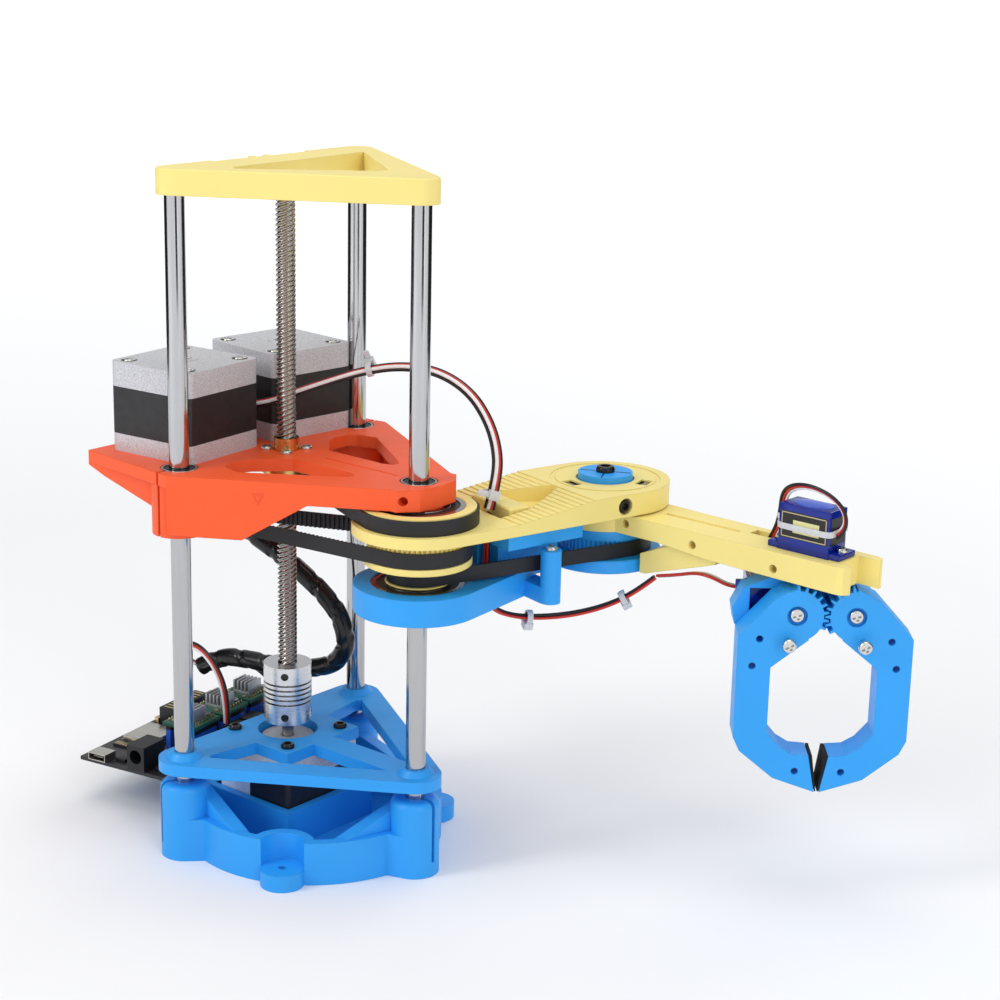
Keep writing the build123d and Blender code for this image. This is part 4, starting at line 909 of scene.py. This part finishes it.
# ---- servos --------------------------------------------------------------------------------------
def servo(name, body, place):
    """A micro servo: shaft axis at the origin, underside of the tabs at zero, case above."""
    low, high, half = -4.3, 18.4, 6.1
    x0, x1 = -16.8, 5.9
    case = Shape()
    case.add(cuboid(x0, x1, -half, half, low, high), "servo_case", place)
    case.add(cuboid(x0 - 4.7, x0 + 0.2, -half + 0.2, half - 0.2, 0, 2.5), "servo_case", place)
    case.add(cuboid(x1 - 0.2, x1 + 4.7, -half + 0.2, half - 0.2, 0, 2.5), "servo_case", place)
    case.add(lathe([(5.9, low - 4), (5.9, low + 0.1)], 48), "servo_case", place)
    case.add(lathe([(2.9, low - 4), (2.9, low + 0.1)], 32), "servo_case", place @ at(-6.0, 0))
    made = case.piece(name + "_case", body, "servo_case", [name], bevel=0.5)
    label = Shape()
    for sign in (-1, 1):
        y = sign * half
        near, far = sorted((y, y + sign * 0.12))
        label.add(cuboid(x0 + 0.9, x1 - 0.9, near, far, 5.0, 15.6), "label_black", place)
        near, far = sorted((y + sign * 0.1, y + sign * 0.17))
        for a, b, c, d in ((x0 + 1.3, x1 - 1.3, 5.4, 5.8), (x0 + 1.3, x1 - 1.3, 14.8, 15.2),
                           (x0 + 1.3, x0 + 1.7, 5.4, 15.2), (x1 - 1.7, x1 - 1.3, 5.4, 15.2)):
            label.add(cuboid(a, b, near, far, c, d), "label_gold", place)
        label.add(cuboid(x0 + 6.5, x1 - 4.5, near, far, 7.5, 12.5), "label_paper", place)
    label.add(cuboid(x1, x1 + 0.12, -half + 1, half - 1, 5.0, 15.6), "label_black", place)
    dome = [(5.0, high - 0.1), (4.9, high + 0.25), (3.4, high + 0.6), (0.1, high + 0.7)]
    label.add(lathe(dome, 40), "servo_lens", place @ at((x0 + x1) / 2, 0) @ Matrix.Diagonal((1.75, 1, 1, 1)))
    label.piece(name + "_label", body, "servo_case")
    return made


def add_servos():
    servo("wrist_servo", "forearm", ON_FOREARM @ Matrix.Translation((FOREARM_LENGTH, 0, 142.0)))
    seat = Matrix.Translation((-11.35, GRIPPER_SERVO_SEAT, 118.5))
    servo("gripper_servo", "gripper", ON_WRIST @ seat @ Matrix.Rotation(-math.pi / 2, 4, "X"))


def add_elbow_cap():
    spot = ON_FOREARM
    shape = Shape()
    shape.add(screw_head(3.9, 2.4), "black_screw", spot @ Matrix.Translation((0, 0, 154.5)))
    for k in range(2):
        bar = spot @ Matrix.Rotation(math.pi / 2 * k + 0.5, 4, "Z")
        shape.add(cuboid(4.4, 10.4, -0.25, 0.25, 154.45, 154.62), "black_screw", bar)
        shape.add(cuboid(-10.4, -4.4, -0.25, 0.25, 154.45, 154.62), "black_screw", bar)
    shape.piece("elbow_bolt_head", "forearm", "blue_print")


# ---- cords ---------------------------------------------------------------------------------------
CORDS = {  # diameter, then the route's points, all in millimetres
    "wire_harness": (8.5, [
        (-76, 0, 148), (-75, 2, 137), (-66, 8, 127), (-53, 14, 118), (-38, 20, 108), (-23, 24, 98),
        (-11, 26.5, 87), (-8, 28, 73), (-17, 29, 62), (-33, 28.5, 56.5), (-50, 27, 54), (-66, 24.5, 54),
        (-80, 22, 52.5), (-90, 19.5, 46),
    ]),
    "servo_lead_tower": (4.0, [
        (-76, 0, 148.4), (-77, -0.3, 159), (-73, -0.5, 170), (-61, -0.3, 176), (-44, 0, 176.5),
        (-27, 0.8, 180), (-17, 10, 185.5), (-6, 17, 190.5), (5, 22.5, 195), (19, 29, 198.5),
        (34, 35, 198), (49, 38, 191.5), (59, 38.8, 180), (65, 37, 168), (68, 32, 158), (67.1, 29.1, 148),
    ]),
    "servo_lead_arm": (3.2, [
        (67.1, 29.3, 146.4), (65.2, 30.3, 128), (65, 30.6, 112), (66.6, 34, 104.5), (72, 43.5, 100.5),
        (81, 58, 99.5), (91, 71, 102), (101, 80.5, 108), (109, 85, 116),
    ]),
    "servo_lead_wrist": (3.2, [
        (110.2, 85.6, 117.1), (119, 86.2, 119), (128, 85.4, 122), (136.5, 84.4, 123), (143.4, 88.4, 119.2),
        (147.6, 91.8, 119),
    ]),
    "servo_lead_loop": (3.2, [
        (192.6, 84, 151), (196.5, 83.5, 154), (196, 83.5, 161), (190, 83, 166), (181, 83, 168),
        (172.5, 84.5, 166.5), (166, 88, 162), (163.8, 90.5, 153), (161, 92.4, 145.5), (157, 93, 138.5),
    ]),
    "board_servo_lead": (3.6, [
        (-91.8, 18.3, 46.8), (-96.5, 16.5, 48.5), (-95.5, 12.5, 55), (-87, 9, 60), (-76, 7, 60.5),
        (-66.5, 6.8, 54), (-62.2, 8.4, 42), (-62.2, 8.4, 29),
    ]),
    "board_motor_leads": (3.6, [
        (-91.8, 23, 44.6), (-97, 26.5, 45.5), (-95, 33, 47), (-86, 37.5, 46.5), (-75.5, 39.7, 44.5),
        (-65, 40.5, 38), (-65, 40.5, 29),
    ]),
}
# The wires of each lead, as (across, over, radius, material).
LEADS = {
    "servo_lead_tower": [
        (-1.25, 0.75, 0.74, "wire_white"), (0.0, 0.75, 0.74, "wire_red"),
        (1.25, 0.75, 0.74, "wire_rubber"), (-1.25, -0.75, 0.74, "wire_rubber"),
        (0.0, -0.75, 0.74, "wire_red"), (1.25, -0.75, 0.74, "wire_white"),
    ],
    "servo_lead_arm": [
        (-0.95, 0.62, 0.6, "wire_rubber"), (0.25, 0.62, 0.6, "wire_red"), (-0.25, -0.62, 0.6, "wire_rubber"),
        (0.95, -0.62, 0.6, "wire_red"),
    ],
    "servo_lead_wrist": [
        (-1.1, 0.0, 0.6, "wire_white"), (0.0, 0.25, 0.6, "wire_rubber"), (1.1, 0.0, 0.6, "wire_red"),
    ],
    "servo_lead_loop": [
        (-1.1, 0.0, 0.6, "wire_rubber"), (0.0, 0.0, 0.6, "wire_red"), (1.1, 0.0, 0.6, "wire_white"),
    ],
    "board_servo_lead": [
        (-1.25, 0.0, 0.62, "wire_rubber"), (0.0, 0.1, 0.62, "wire_red"), (1.25, 0.0, 0.62, "wire_white"),
    ],
    "board_motor_leads": [
        (-0.95, 0.7, 0.62, "wire_rubber"), (0.55, 0.95, 0.62, "wire_green"), (-0.5, -0.85, 0.62, "wire_blue"),
        (1.0, -0.5, 0.62, "wire_red"),
    ],
}
# Where a lead crosses a joint: the body at its start, the body at its end, and where
# the turn begins and ends.
CROSSINGS = {
    "wire_harness": ("carriage", "base", (0, 0, 0.140), (0, 0, 0.060)),
    "servo_lead_tower": ("carriage", "upper_arm", (-0.030, 0, 0), (0.062, 0, 0)),
    "servo_lead_arm": ("upper_arm", "forearm", (0.0655, 0.032, 0), (0.108, 0.084, 0)),
    "servo_lead_wrist": ("forearm", "gripper", (0.112, 0, 0), (0.144, 0, 0)),
}
OWNERS = {"servo_lead_loop": "forearm", "board_servo_lead": "base", "board_motor_leads": "base"}


def wrapped_tube(frames, radius):
    """A bundle in a spiral wrap: one wide band winds round it, and each turn laps over the next."""
    sides, pitch = 28, 13.0
    groove, lap = 0.35, 0.2
    rings = []
    run = 0.0
    for i, (point, across, over) in enumerate(frames):
        if i:
            run += (point - frames[i - 1][0]).length
        ring = []
        for k in range(sides):
            t = 2 * math.pi * k / sides
            phase = (run / pitch - k / sides) % 1.0
            band = min(1.0, max(0.0, (0.41 - abs(phase - 0.45)) * 14))
            r = radius - groove * (1 - band) - lap * phase
            ring.append(point + across * (r * math.cos(t)) + over * (r * math.sin(t)))
        rings.append(ring)
    return rings_to_solid(rings)


def declare_cord(made, name):
    """Bakes the placement of a finished cord that crosses a joint into its mesh; other cords are left as they are.
    """
    if name in CROSSINGS:
        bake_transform(made)


def add_cords():
    width, points = CORDS["wire_harness"]
    line = resampled(route_line(points), 0.5)
    shape = Shape().add(wrapped_tube(frames_along(line, (0, 0, 1)), width / 2 - 0.1), "wrap_black")
    made = shape.piece("wire_harness_wrap", None, "wrap_black", ["wire_harness"], sharp=50)
    declare_cord(made, "wire_harness")
    for name, wires in LEADS.items():
        line = resampled(route_line(CORDS[name][1]), 1.0)
        frames = frames_along(line, (0.2, 0.3, 1) if name.startswith("servo_lead_l") else (0.3, -1, 0.2))
        shape = Shape()
        for i, (across, over, radius, material) in enumerate(wires):
            turn = 0.5 * i

            def offset(t, across=across, over=over, turn=turn):
                sway = 0.16 * math.sin(9 * t + turn)
                return across + sway, over + 0.14 * math.cos(7 * t + turn)

            shape.add(strand(frames, offset, radius), material)
        made = shape.piece(name + "_wires", OWNERS.get(name), "wire_rubber", [name], sharp=60)
        declare_cord(made, name)


# ---- ties and trim -------------------------------------------------------------------------------
def zip_tie(name, body, place, half_x, half_y, tail=5.0):
    """A nylon tie round a bundle that runs along its own Z; where body is a lead that crosses a joint, the tie is
    fixed to no body and its placement is baked into its mesh.
    """
    shape = Shape()
    shape.add(strap(oval(half_x, half_y), 2.4, 0.9), "nylon_white", place)
    head = place @ Matrix.Translation((half_x + 1.4, 0, 0))
    shape.add(cuboid(-1.4, 1.6, -2.2, 2.2, -1.9, 1.9), "nylon_white", head)
    shape.add(cuboid(0.2, 1.1, 2.0, 2.0 + tail, -1.15, 1.15), "nylon_white", head)
    made = shape.piece(name, None if body in CROSSINGS else body, "wire_rubber", bevel=0.25)
    if body in CROSSINGS:
        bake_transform(made)


def add_trim():
    spot = aimed((7.5, 24.0, 195.9), (1, 0.6, 0.35), 2.6)
    zip_tie("lead_tie_high", "servo_lead_tower", spot, 2.5, 2.0, 4.0)
    spot = aimed((74.5, 47.0, 100.5), (0.6, 0.9, -0.1), 1.2)
    zip_tie("arm_lead_tie_near", "servo_lead_arm", spot, 2.1, 1.9, 4.0)
    spot = aimed((98.5, 78.0, 106.6), (0.7, 0.6, 0.5), 1.2)
    zip_tie("arm_lead_tie_far", "servo_lead_arm", spot, 2.1, 1.9, 6.0)
    zip_tie("tower_lead_tie", "upper_arm", aimed((67.4, 30.2, 154.0), (-0.1, -0.3, -1)), 2.7, 2.7)
    band = Shape()
    middle = ON_FOREARM @ Matrix.Translation((FOREARM_LENGTH - 5.45, 0, 152.0))
    middle = middle @ Matrix.Rotation(0.06, 4, "X")
    band.add(strap(oval(11.75, 6.45, 64, 9.0), 2.4, 0.8), "nylon_white", middle)
    band.add(cuboid(-14.2, -11.4, -2.2, 2.2, -1.9, 1.9), "nylon_white", middle)
    band.add(cuboid(-17.5, -11.9, 2.0, 2.9, -1.15, 1.15), "nylon_white", middle)
    band.piece("wrist_servo_tie", "forearm", "servo_case", bevel=0.25)
    mark = Shape()
    rail = at(-19.0, -62.5, 0, math.atan2(45.0, 76.0)) @ at(RAIL_MARK, 0)
    corners = [(-2.6, 158.2), (2.6, 158.2), (0.0, 153.6)]
    inner = [(-1.6, 157.6), (1.6, 157.6), (0.0, 154.9)]
    rings = [[(x, y, z) for x, z in points] for points, y in
             ((corners, 0.02), (corners, -0.12), (inner, -0.12), (inner, 0.02))]
    mark.add(rings_to_solid(rings, closed=True), "orange_print", rail)
    mark.piece("rail_mark", "carriage", "orange_print")


place_camera()
MATERIALS = make_materials()
place_lights()
place_floor()
place_flags()
dress_nodes()
add_lead_screw()
right, left = ARM_MOTORS[1][0], ARM_MOTORS[0][0]
add_belt("shoulder_belt", "carriage", right, SHOULDER.xy, 4.84, 22.66)
add_belt("drive_belt", "carriage", left, SHOULDER.xy, 4.84, 20.12)
add_belt("forearm_belt", "upper_arm", SHOULDER.xy, ELBOW.xy, 11.21, 18.85)
add_pulleys()
add_bearings()
add_screws()
add_motor_details()
add_board()
add_servos()
add_elbow_cap()
add_cords()
add_trim()
